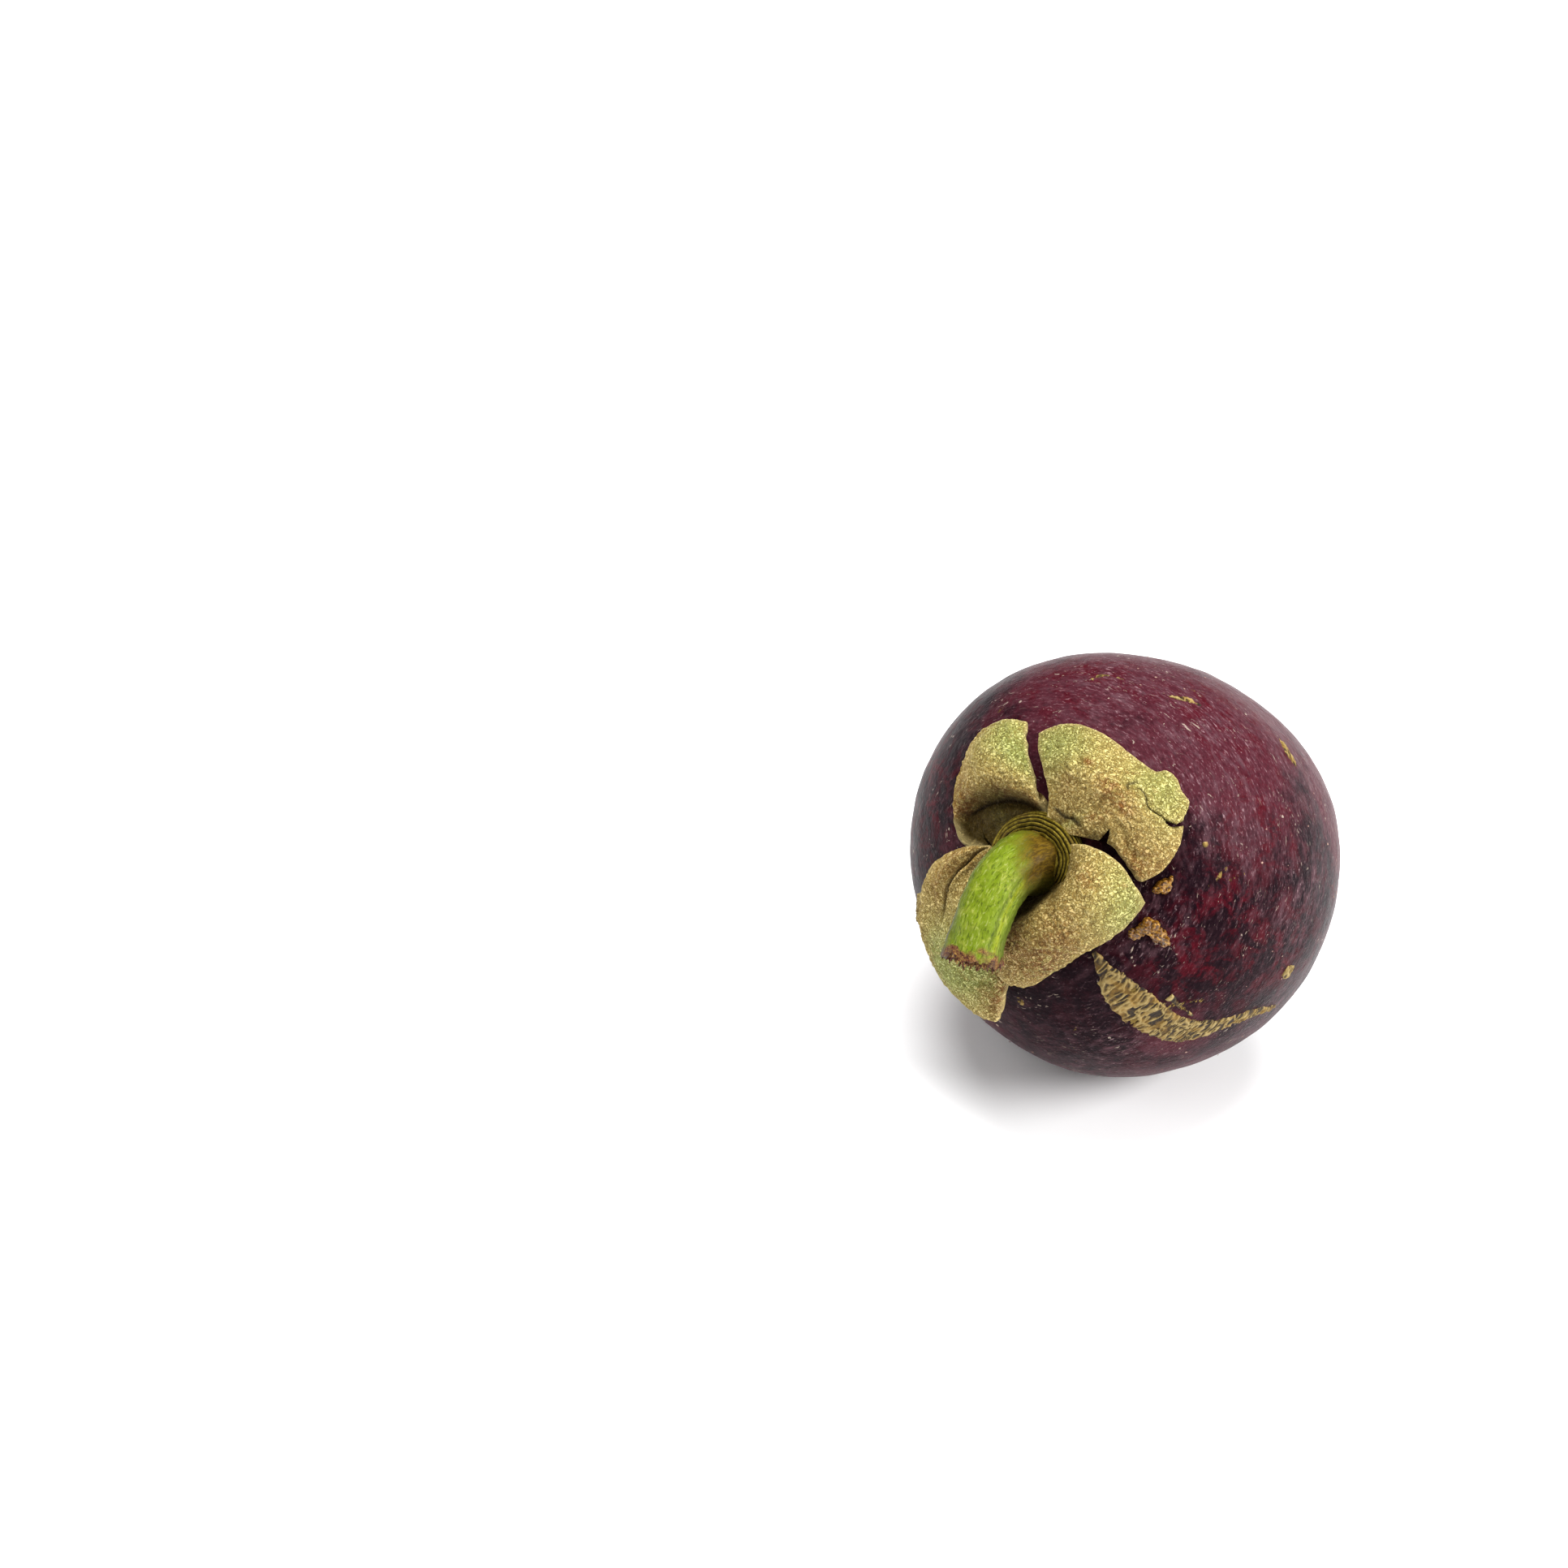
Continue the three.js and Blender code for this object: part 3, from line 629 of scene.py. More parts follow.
def fruit_place(tree, stretch=(1, 1, 1)):
    """Object coordinates turned so that Z runs along the fruit's axis, and squeezed by stretch."""
    here = add(tree, "ShaderNodeTexCoord").outputs["Object"]
    inputs = {"Vector": here, "Location": Vector(fruit_centre() * MM), "Rotation": Euler((settings().tilt, 0, 0))}
    turned = add(tree, "ShaderNodeMapping", {"vector_type": "TEXTURE"}, inputs).outputs[0]
    return add(tree, "ShaderNodeMapping", {"vector_type": "POINT"}, {"Vector": turned, "Scale": stretch}).outputs[0]


def bump(tree, height, millimetres, below=None):
    inputs = {"Height": height, "Distance": millimetres * MM}
    if below is not None:
        inputs["Normal"] = below
    return add(tree, "ShaderNodeBump", inputs=inputs).outputs["Normal"]


def new_material(name):
    material = bpy.data.materials.new(name)
    material.use_nodes = True
    tree = material.node_tree
    tree.nodes.clear()
    return material, tree


def finish_material(tree, shade, roughness, relief=None, gloss=0.5, ior=1.45, others=None):
    inputs = {"Base Color": shade, "Roughness": roughness, "IOR": ior, "Specular IOR Level": gloss, **(others or {})}
    if relief is not None:
        inputs["Normal"] = relief
    shader = add(tree, "ShaderNodeBsdfPrincipled", inputs=inputs)
    add(tree, "ShaderNodeOutputMaterial", inputs={"Surface": shader.outputs[0]})


def new_group(name, inputs, output):
    """A geometry node tree with the named inputs, given as (name, kind), and the sockets that bring them in."""
    tree = bpy.data.node_groups.new(name, "GeometryNodeTree")
    for label, kind in inputs:
        tree.interface.new_socket(label, in_out="INPUT", socket_type="NodeSocket" + kind)
    tree.interface.new_socket(output, in_out="OUTPUT", socket_type="NodeSocketGeometry")
    return tree, add(tree, "NodeGroupInput").outputs


def finish_group(tree, geometry, material):
    """Ends a geometry node tree: plain geometry, in its material."""
    real = add(tree, "GeometryNodeRealizeInstances", inputs={0: geometry}).outputs[0]
    painted = add(tree, "GeometryNodeSetMaterial", inputs={"Geometry": real, "Material": material}).outputs[0]
    add(tree, "NodeGroupOutput", inputs={0: painted})
    return tree


def copies_at(tree, points, shape, rotation, size):
    """A copy of a shape at each point."""
    one = add(tree, "GeometryNodeObjectInfo", {"transform_space": "ORIGINAL"}, {"Object": shape}).outputs["Geometry"]
    inputs = {"Points": points, "Instance": one, "Rotation": rotation, "Scale": size}
    return add(tree, "GeometryNodeInstanceOnPoints", inputs=inputs).outputs[0]


def chance_between(tree, least, most, seed, kind="FLOAT"):
    """A random number, or with kind FLOAT_VECTOR three of them, for each copy."""
    first, output = (0, 0) if kind == "FLOAT_VECTOR" else (2, 1)
    inputs = {first: least, first + 1: most, "Seed": seed}
    return add(tree, "FunctionNodeRandomValue", {"data_type": kind}, inputs).outputs[output]


def use_tree(piece, tree, values):
    """Puts a node tree on a piece and sets its named inputs by their identifiers."""
    modifier = piece.modifiers.new(tree.name, "NODES")
    modifier.node_group = tree
    sockets = {item.name: item.identifier for item in tree.interface.items_tree if item.in_out == "INPUT"}
    for name, value in values.items():
        modifier[sockets[name]] = value
    return plain_mesh(piece)


# ---- the rind ----

ROUND_THE_FRUIT = (0.4, 0.4, 1.5)  # stretches a pattern round the fruit's axis


def waxy_rind():
    """Ripe mangosteen rind: smooth and waxy, dark plum with redder clouds and a dull bloom that also carries broken
    soft highlights painted over the gloss patch, painted light on the top of the fruit, fine rings round the fruit,
    pale specks and rough corky scars."""
    rind = settings()
    material, tree = new_material("waxy_rind")
    place = fruit_place(tree)
    rings = fruit_place(tree, ROUND_THE_FRUIT)
    clouds = noise(tree, place, 8, 6, 0.68, 0.3)
    patches = noise(tree, place, 3.0, 5, 0.7, 0.5)
    streaks = noise(tree, rings, 1.3, 5, 0.7, 0.4)
    grain = noise(tree, rings, 0.34, 4, 0.7, 0.4)
    # where the waxy bloom lies; over the gloss patch it also places a painted highlight
    bloom = value_of(tree, "bloom")
    specks, speck_edge = skin_specks(tree, place, rings)
    cork = cork_pattern(tree, rings)
    # tone: random clouds plus lighter and darker spots; the lighter spots on the top and the gloss patch are painted
    # light
    tone = maths(tree, "ADD", clouds, value_of(tree, "tone"))
    shade = layers(
        tree, blend(tree, step(tree, tone, 0.36, 0.64), rind.dark, rind.plum),
        (times(tree, step(tree, patches, 0.44, 0.64), value_of(tree, "redness")), rind.red),
        (times(tree, step(tree, streaks, 0.44, 0.72), bloom), rind.bloom),
    )
    mottle = ramp(tree, grain, [(0.30, grey(0.42)), (0.50, grey(0.80)), (0.70, grey(1.0))])
    shade = layers(
        tree, blend(tree, 1.0, shade, mottle, "MULTIPLY"),
        # painted highlight: pale glints where the bloom is thick, brightest over the gloss patch
        (times(tree, step(tree, grain, 0.56, 0.72), times(tree, bloom, 0.8)), srgb("#8c7377")),
        (specks, rind.speck),
        (cork, blend(tree, step(tree, grain, 0.42, 0.55), srgb("#3c2a1c"), rind.cork)),
    )
    waxiness = maths(tree, "MULTIPLY_ADD", streaks, 0.35, 0.16)
    rough = add(tree, "ShaderNodeMix", {"data_type": "FLOAT"}, {0: cork, 2: waxiness, 3: 0.75}).outputs[0]
    relief = bump(tree, grain, 0.045, bump(tree, noise(tree, place, 1.6, 5, 0.7), 0.22))
    finish_material(tree, shade, rough, bump(tree, speck_edge, 0.05, relief), gloss=0.03)
    return material


def skin_specks(tree, place, rings):
    """Pale specks about 0.3 mm across and short scratches that run round the fruit."""
    dots = add(tree, "ShaderNodeTexVoronoi", inputs={"Vector": place, "Scale": 1 / (1.7 * MM), "Randomness": 1.0})
    few = step(tree, noise(tree, place, 4, 2), 0.42, 0.62)
    chance = add(tree, "ShaderNodeSeparateXYZ", inputs={0: dots.outputs["Color"]}).outputs[0]
    size = times(tree, times(tree, few, maths(tree, "POWER", chance, 3.0)), 0.17)
    ragged = maths(tree, "MULTIPLY_ADD", noise(tree, place, 0.16, 2), 0.22, dots.outputs["Distance"])
    dot = maths(tree, "LESS_THAN", maths(tree, "SUBTRACT", ragged, 0.11), size)
    lines = noise(tree, rings, 0.5, 2, 0.5, 1.2)
    scratch = times(tree, step(tree, lines, 0.66, 0.72), step(tree, noise(tree, place, 4, 2), 0.45, 0.58))
    specks = maths(tree, "MAXIMUM", times(tree, dot, 0.65), times(tree, scratch, 0.6))
    thread = step(tree, value_of(tree, "thread"), -0.10, 0.02)
    return maths(tree, "MAXIMUM", specks, times(tree, thread, 0.8)), specks


def cork_pattern(tree, rings):
    """Where the skin itself is corky: frayed flakes that thin out past the edges of a scar."""
    flakes = noise(tree, rings, 0.6, 4, 0.65, 0.8)
    return step(tree, maths(tree, "MULTIPLY_ADD", flakes, 1.6, value_of(tree, "cork")), 0.78, 0.92)


def cube_sphere(cells):
    """Directions over a sphere, from the six faces of a cube, and the squares between them."""
    side = np.tan(np.linspace(-1, 1, cells + 1) * math.pi / 4)
    a, b = np.meshgrid(side, side, indexing="ij")
    one = np.ones_like(a)
    sheets = [(a, b, one), (b, a, -one), (one, a, b), (-one, b, a), (b, one, a), (a, -one, b)]
    points = np.concatenate([np.stack(sheet, axis=-1).reshape(-1, 3) for sheet in sheets])
    index = np.arange((cells + 1) ** 2).reshape(cells + 1, cells + 1)
    square = np.stack([index[:-1, :-1], index[1:, :-1], index[1:, 1:], index[:-1, 1:]], axis=-1).reshape(-1, 4)
    faces = np.concatenate([square + k * (cells + 1) ** 2 for k in range(6)])
    points = unit(points)
    _, first, merged = np.unique(np.round(points, 6), axis=0, return_index=True, return_inverse=True)
    return points[first], merged.reshape(-1)[faces]


def mark_depth(points, marks):
    """How far inside the nearest mark each point of the skin is, in millimetres, or outside it if negative."""
    depth = np.full(len(points), -5.0)
    for mark in marks:
        colatitude, azimuth, half_width = np.array(mark).T
        path = skin_point(colatitude, azimuth)
        gap, share = path_distance(points, path)
        width = np.interp(share * (len(mark) - 1), np.arange(len(mark)), half_width)
        depth = np.maximum(depth, width - gap)
    return depth


def spots_share(points, spots):
    """A soft share from 0 to 1 near (colatitude, azimuth, radius) spots on the skin."""
    share = np.zeros(len(points))
    for colatitude, azimuth, radius in spots:
        gap = np.linalg.norm(points - skin_point(np.array(colatitude), np.array(azimuth)), axis=-1)
        share = np.maximum(share, np.exp(-((gap / radius) ** 2)))
    return share


RIND_CELLS = 118
# Spots of the skin that are redder, have more bloom, or are lighter or darker: colatitude, azimuth, and radius in
# millimetres. The bloom spots over the gloss patch carry its painted highlight, and the lighter spots on the top of
# the fruit and on the gloss patch are painted light.
REDDER = [
    (64, 36, 8), (54, 10, 6), (52, -8, 7), (45, -174, 10), (70, 170, 14), (110, -150, 18), (120, 20, 16), (95, 95, 12),
    (75, 70, 10), (60, 110, 10), (72, 0, 8),
]
BLOOM_AND_HIGHLIGHT_SPOTS = [
    (54, 39, 7), (50, 48, 5), (58, 30, 5), (62, 95, 14), (78, 15, 9), (60, 62, 12), (95, -20, 12), (100, 60, 18),
    (130, 150, 18), (75, -90, 12), (36, -3, 5), (75, -60, 10), (60, -50, 6), (105, -45, 16), (115, -5, 14),
    (105, -85, 14),
]
LIGHTER_AND_LIT_SPOTS = [
    (62, 95, 20), (45, 100, 16), (60, 62, 16), (54, 39, 8), (80, 70, 14), (95, 120, 16), (110, 40, 16), (100, -60, 16),
    (125, 160, 18), (80, -130, 16), (64, -32, 6),
]
DARKER = [
    (48, 3, 8), (40, -18, 8), (58, -8, 9), (45, -60, 9), (80, -10, 9), (48, -150, 9), (50, 165, 12), (42, 25, 7),
    (90, 20, 9),
]


def rind_relief(skin):
    """Height of the rind's own lumps over its smooth form."""
    colatitude = np.degrees(angles(skin)[0])
    dimple = -0.7 * np.exp(-((colatitude / 13) ** 2)) - 0.5 * np.exp(-(((180 - colatitude) / 12) ** 2))
    return 0.22 * ripple(skin, 11, 1) + 0.09 * ripple(skin, 4.5, 2) + 0.04 * ripple(skin, 2.0, 3) + dimple


def rind_mesh(material):
    out, faces = cube_sphere(RIND_CELLS)
    polar, turn, _ = angles(out)
    radius = skin_radius(polar, turn)
    skin = out * radius[:, None]
    placed = to_row(out * (radius + rind_relief(skin))[:, None])
    placed[:, 2] = settle(placed[:, 2])
    values = {
        "cork": np.clip(mark_depth(skin, SCARS + SCUFFS) - 0.25, -2, 2),
        "thread": np.clip(mark_depth(skin, [THREAD]), -1, 1),
        # lighter and darker spots; the lighter ones on the top of the fruit and on the gloss patch are painted light
        "tone": 0.3 * spots_share(skin, LIGHTER_AND_LIT_SPOTS) - 0.3 * spots_share(skin, DARKER) - 0.08,
        "redness": np.clip(0.15 + spots_share(skin, REDDER), 0, 1),
        # bloom spots; those over the gloss patch paint its highlight
        "bloom": np.clip(0.22 + 0.78 * spots_share(skin, BLOOM_AND_HIGHLIGHT_SPOTS), 0, 1),
    }
    return make_piece("rind", placed, faces, material, values, in_row=True)


def flaking_cork():
    """Healed scar: dry cork in tan cords with dark cracks between them, quite without gloss; its colour follows the
    cords' height, so it is partly painted shade in the cracks and painted highlight on the cord tops.
    """
    material, tree = new_material("flaking_cork")
    place = fruit_place(tree)
    fine = noise(tree, place, 0.25, 3, 0.6)
    # colour by height: dark cork in the cracks, partly painted shade, and pale tops, partly painted highlight
    height = maths(tree, "ADD", times(tree, value_of(tree, "ridge"), 0.8), times(tree, fine, 0.4))
    stops = [(0.30, srgb("#20150b")), (0.46, srgb("#463619")), (0.66, settings().cork), (0.92, srgb("#a08c5a"))]
    ochre = times(tree, step(tree, noise(tree, place, 2.0, 3), 0.48, 0.66), 0.55)
    shade = blend(tree, ochre, ramp(tree, height, stops), srgb("#85631f"))
    finish_material(tree, shade, 0.8, bump(tree, fine, 0.08))
    return material


CORK_STEP = 0.10  # side of a cell of a scar's grid
CORK_ROOT = 0.3  # how far a scar reaches into the rind
CORK_FRAY = 1.25  # how far past its half-width a scar may fray


def cork_ribbon(mark, seed):
    """A raised scar along a mark, with frayed edges, islands of skin, and cords that run round the fruit."""
    colatitude, azimuth, half_width = even_curve(mark, 80).T
    middle = skin_point(colatitude, azimuth)
    travelled = np.r_[0, np.cumsum(np.linalg.norm(np.diff(middle, axis=0), axis=1))]
    rows = max(int(travelled[-1] / CORK_STEP), 6)
    steps = np.linspace(0, travelled[-1], rows)
    middle = np.stack([np.interp(steps, travelled, middle[:, k]) for k in range(3)], axis=-1)
    width = np.interp(steps, travelled, half_width)
    columns = max(int(2 * width.max() * CORK_FRAY / CORK_STEP), 6)
    side = unit(np.cross(np.gradient(middle, axis=0), middle))
    across = np.linspace(-CORK_FRAY, CORK_FRAY, columns)[None, :, None] * width[:, None, None]
    polar, turn, _ = angles(middle[:, None] + side[:, None] * across)
    skin = skin_point(np.degrees(polar), np.degrees(turn))
    inside = width[:, None] - np.abs(across[..., 0])
    inside = np.minimum(inside, (np.minimum(steps, steps[-1] - steps) + 0.1)[:, None])
    inside = inside + 0.38 * ripple(skin, 0.9, seed) + 0.2 * ripple(skin, 0.35, seed + 1)
    cords = skin * ROUND_THE_FRUIT + 0.3 * np.stack([ripple(skin, 1.3, seed + k) for k in (2, 3, 4)], axis=-1)
    ridge = 1 - np.minimum(np.abs(ripple(cords, 0.40, seed + 5)) * 2.2, 1)
    ridge = 0.7 * ridge + 0.3 * (0.5 + 0.5 * ripple(cords, 0.25, seed + 6))
    rise = rind_relief(skin) + np.clip(inside / 0.3, 0, 1) * (0.05 + 0.24 * ridge)
    island = ripple(skin * [0.7, 0.7, 1], 1.5, seed + 7) > 0.62
    centre = (inside[:-1, :-1] + inside[1:, 1:]) / 2
    keep = (centre > 0) & ~island[:-1, :-1]
    out = unit(skin)
    top = skin + out * rise[..., None]
    bottom = skin + out * (rind_relief(skin) - CORK_ROOT)[..., None]
    return plate(top, bottom, keep, {"ridge": ridge})


def join_shells(shells):
    """Puts the points, faces and values of several shells in one."""
    starts = np.cumsum([0] + [len(points) for points, _, _ in shells[:-1]])
    points = np.concatenate([shell[0] for shell in shells])
    faces = np.concatenate([shell[1] + start for shell, start in zip(shells, starts)])
    return points, faces, {key: np.concatenate([shell[2][key] for shell in shells]) for key in shells[0][2]}


def make_scars(material):
    points, faces, values = join_shells([cork_ribbon(mark, 200 + 10 * k) for k, mark in enumerate(SCARS)])
    piece = make_piece("cork_scars", points, faces, material, values)
    face_outwards(piece.data)
    return piece


def settle(heights, soft=0.25 * MM):
    """Flattens what would reach under the table, with a soft edge round the flat spot."""
    rounded = np.where(heights < soft, (heights + soft) ** 2 / (4 * soft), heights)
    return np.where(heights <= -soft, 0.0, rounded)


def scatter_tree(name, shape, material):
    """Scatters copies of a shape over a surface: Density per square metre, Smallest and Largest size, Tilt and Seed."""
    numbers = [(label, "Float") for label in ("Density", "Smallest", "Largest", "Tilt")]
    tree, given = new_group(name, [("Surface", "Geometry"), *numbers, ("Seed", "Int")], "Copies")
    seed, tilt = given["Seed"], given["Tilt"]
    inputs = {"Mesh": given["Surface"], "Density": given["Density"], "Seed": seed}
    scatter = add(tree, "GeometryNodeDistributePointsOnFaces", {"distribute_method": "RANDOM"}, inputs).outputs
    size = chance_between(tree, given["Smallest"], given["Largest"], seed)
    least, most = (
        add(tree, "ShaderNodeVectorMath", {"operation": "SCALE"}, {0: (way,) * 3, "Scale": tilt}).outputs[0]
        for way in (-1, 1)
    )
    lean = chance_between(tree, least, most, seed, "FLOAT_VECTOR")
    inputs = {"Rotation": scatter["Rotation"], "Rotate By": lean}
    turned = add(tree, "FunctionNodeRotateRotation", {"rotation_space": "LOCAL"}, inputs).outputs[0]
    return finish_group(tree, copies_at(tree, scatter["Points"], shape, turned, size), material)


def one_fleck():
    """A low oval bead, one unit across."""
    shape = bmesh.new()
    bmesh.ops.create_icosphere(shape, subdivisions=1, radius=0.5)
    for vertex in shape.verts:
        vertex.co.x *= 1.35
        vertex.co.z *= 0.42
    fleck = loose_object("fleck", shape)
    fleck.data.shade_smooth()
    return fleck


def corky_fleck():
    """Lenticels: tiny corky beads that have burst through the rind, dry and pale pink-brown."""
    material, tree = new_material("corky_fleck")
    clouds = noise(tree, fruit_place(tree), 2.0, 2)
    finish_material(tree, ramp(tree, clouds, [(0.35, srgb("#5e3a38")), (0.65, srgb("#a88778"))]), 0.7)
    return material


OPEN_SKIN = (48, 160)  # colatitudes between the calyx and the flower mark


def make_flecks():
    """Flecks over the open skin, away from the calyx, the flower mark and the flat spot."""
    out, faces = cube_sphere(24)
    polar, turn, _ = angles(out)
    placed = to_row(out * skin_radius(polar, turn)[:, None])
    colatitude = np.degrees(polar)
    open_skin = (colatitude > OPEN_SKIN[0]) & (colatitude < OPEN_SKIN[1]) & (placed[:, 2] > 3 * MM)
    faces = faces[open_skin[faces].all(axis=1)]
    material = corky_fleck()
    piece = make_piece("rind_flecks", placed, faces, material, in_row=True)
    fleck = one_fleck()
    density = settings().flecks / SQUARE_CENTIMETRE
    sizes = {"Density": density, "Smallest": 0.12 * MM, "Largest": 0.34 * MM, "Tilt": 0.0, "Seed": 7}
    use_tree(piece, scatter_tree("scattered_flecks", fleck, material), sizes)
    bpy.data.objects.remove(fleck)
    return piece


class MANGOSTEEN_OT_rind(bpy.types.Operator):
    """Make the rind, flat where it lies, with its corky scars"""

    bl_idname = "mangosteen.rind"
    bl_label = "Rind"

    def execute(self, context):
        belongs(rind_mesh(waxy_rind()), "rind", "fruit")
        return {"FINISHED"}


class MANGOSTEEN_OT_scars(bpy.types.Operator):
    """Make the raised corky scars on the rind"""

    bl_idname = "mangosteen.scars"
    bl_label = "Corky scars"

    def execute(self, context):
        belongs(make_scars(flaking_cork()), "rind")
        return {"FINISHED"}


class MANGOSTEEN_OT_flecks(bpy.types.Operator):
    """Scatter the raised corky flecks over the rind"""

    bl_idname = "mangosteen.flecks"
    bl_label = "Flecks"

    def execute(self, context):
        belongs(make_flecks(), "rind")
        return {"FINISHED"}


# ---- the sepals ----


def leathery_sepal():
    """Half-dried sepal: leathery and matt, tan with green and brown clouds, and finely wrinkled in relief, with painted
    shade in the furrows and painted highlights on the ridges of the worm-like wrinkles, painted shade in its creases
    and near the collar, and a painted highlight along its edges."""
    calyx = bpy.context.scene.mangosteen_calyx
    material, tree = new_material("leathery_sepal")
    place = fruit_place(tree)
    clouds = noise(tree, place, 2.4, 6, 0.7, 0.4)
    winding = maths(tree, "ABSOLUTE", maths(tree, "SUBTRACT", noise(tree, place, 0.46, 3.0, 0.6, 0.3), 0.5))
    worms = add(tree, "ShaderNodeMath", {"operation": "MULTIPLY", "use_clamp": True}, {0: winding, 1: 8.0}).outputs[0]
    ragged = times(tree, value_of(tree, "brown"), step(tree, noise(tree, place, 0.8, 4, 0.7), 0.36, 0.56))
    dryness = maths(tree, "MULTIPLY_ADD", step(tree, clouds, 0.50, 0.74), 0.14, times(tree, ragged, 0.95))
    shade = layers(
        tree, calyx.tan,
        (times(tree, value_of(tree, "green"), step(tree, clouds, 0.24, 0.48)), calyx.green),
        (dryness, calyx.brown),
    )
    wrinkle_light_and_shade = maths(tree, "ADD", times(tree, value_of(tree, "ridge"), 0.3), times(tree, worms, 0.7))
    # painted shade in the furrows of the wrinkles
    furrow_shade = ramp(tree, wrinkle_light_and_shade, [(0.12, srgb("#65481a")), (0.32, srgb("#b9a26a")), (0.50, srgb("#ffffff"))])
    shade = layers(
        tree, blend(tree, 0.68, shade, furrow_shade, "MULTIPLY"),
        # painted highlight on the ridges of the wrinkles
        (times(tree, step(tree, wrinkle_light_and_shade, 0.5, 0.95), 0.3), srgb("#dccd9d")),
        # painted shade: dark spots by the collar and at some margins, and the low part inside the ledge
        (times(tree, value_of(tree, "dark"), 0.92), srgb("#3d3006")),
        # painted shade inside narrow sunk folds
        (value_of(tree, "crease"), srgb("#281a08")),
        # painted highlight along the sepal's edges
        (times(tree, value_of(tree, "rim"), 0.6), srgb("#d2bd80")),
    )
    relief = bump(tree, noise(tree, place, 0.18, 2, 0.6, 0.6), 0.05, bump(tree, worms, 0.28))
    finish_material(tree, shade, 0.62, relief, gloss=0.25)
    return material


LEAF_ROWS = 150
LEAF_COLUMNS = 150
EDGE_JITTER = 0.07
WAVE_HEIGHT = 0.25  # of the slow waves over both faces of a sepal
# narrow sunk folds get painted shade inside
CREASE_WIDTH = 0.4  # a sunk fold narrower than this is dark inside
LEAST_GAP = 0.12  # between a sepal's underside and the skin
LEAST_THICKNESS = 0.3


def patch_places(leaf, rows, columns):
    """Colatitude and azimuth over a patch between its four edges."""
    left, right = even_curve(leaf["left"], rows), even_curve(leaf["right"], rows)
    tip = even_curve(leaf["tip"], columns)
    out = np.linspace(0, 1, rows)[:, None, None]
    across = np.linspace(0, 1, columns)[None, :, None]
    near = left[0] * (1 - across) + right[0] * across
    between = left[:, None] * (1 - across) + right[:, None] * across
    outward = near * (1 - out) + tip[None] * out
    corners = near * (1 - out) + (left[-1] * (1 - across) + right[-1] * across) * out
    return between + outward - corners


def leaf_lift(leaf, spread):
    """The height of a sepal's upper face over the skin with and without its folds, and where its creases and the
    low part inside its ledge are, which are painted with shade."""
    rows, columns = spread.shape[:2]
    table = np.array(leaf["lift"])
    down = smooth_weights(len(table), np.linspace(0, 1, rows))
    sideways = smooth_weights(table.shape[1], np.linspace(0, 1, columns))
    lift = down @ table @ sideways.T
    within = np.zeros_like(lift)
    if "ledge" in leaf:
        starts, depth, slope = leaf["ledge"]
        edge = smooth_weights(len(starts), np.linspace(0, 1, columns)) @ np.array(starts) * spread[-1, 0, 0]
        inside = np.clip((edge - spread[..., 0]) / slope + 0.5, 0, 1)
        within = inside * inside * (3 - 2 * inside)
        side = np.abs(np.linspace(-1, 1, columns))
        fade = 1 - 0.75 * side**8
        lift = np.maximum(lift - depth * within * fade, 1.0)
    plain, crease = lift.copy(), np.zeros_like(lift)
    for path, height, half_width in leaf["folds"]:
        gap, share = path_distance(spread, to_spread(even_curve(path, 24), spread))
        fade = np.minimum(1, 4 * np.minimum(share, 1 - share) + 0.25)
        line = np.exp(-((gap / half_width) ** 2)) * fade
        lift += height * line
        # narrow sunk folds are marked for painted shade
        if half_width < CREASE_WIDTH and height < 0:
            crease = np.maximum(crease, line)
    return lift, plain, crease, within


def to_spread(path, spread):
    """A path of shares out and across, in the flat millimetres of a spread-out sepal."""
    return np.stack([path[:, 0] * spread[-1, 0, 0], path[:, 1] * spread[0, -1, 1]], axis=-1)


def leaf_spread(places):
    """Flat millimetres over a sepal: its length along the rows and its middle width along the columns."""
    skin = skin_point(places[..., 0], places[..., 1], np.full(places.shape[:2], 3.0))
    rows, columns = places.shape[:2]
    long = np.linalg.norm(np.diff(skin[:, columns // 2], axis=0), axis=-1).sum()
    wide = np.linalg.norm(np.diff(skin[int(rows * 0.6)], axis=0), axis=-1).sum()
    out, across = np.meshgrid(np.linspace(0, long, rows), np.linspace(0, wide, columns), indexing="ij")
    return np.stack([out, across], axis=-1)


def leaf_cells(leaf, spread):
    """Which cells of a sepal's grid are left after its splits."""
    middle = (spread[:-1, :-1] + spread[1:, 1:]) / 2
    keep = np.ones(middle.shape[:2], bool)
    for path, half_width in leaf["cuts"]:
        gap, share = path_distance(middle, to_spread(even_curve(path, 24), spread))
        keep &= gap > half_width * (1 - share) ** 0.8
    return keep


def spots_over(spread, spots):
    total = np.zeros(spread.shape[:2])
    for out, across, radius, strength in spots:
        centre = to_spread(np.array([[out, across]]), spread)[0]
        total += strength * np.exp(-((np.linalg.norm(spread - centre, axis=-1) / radius) ** 2))
    return np.clip(total, 0, 1)


def leaf_wrinkles(points, seed):
    """Wrinkles that wander over a sepal, from -1 in the furrows to 1 on the ridges."""
    bent = points + 0.9 * np.stack([ripple(points, 3.5, seed + k) for k in range(3)], axis=-1)
    coarse = 1 - np.minimum(np.abs(ripple(bent, 0.95, seed + 3)) * 2.4, 1)
    return 0.6 * (coarse - 0.45) + 0.9 * ripple(bent, 0.42, seed + 4)


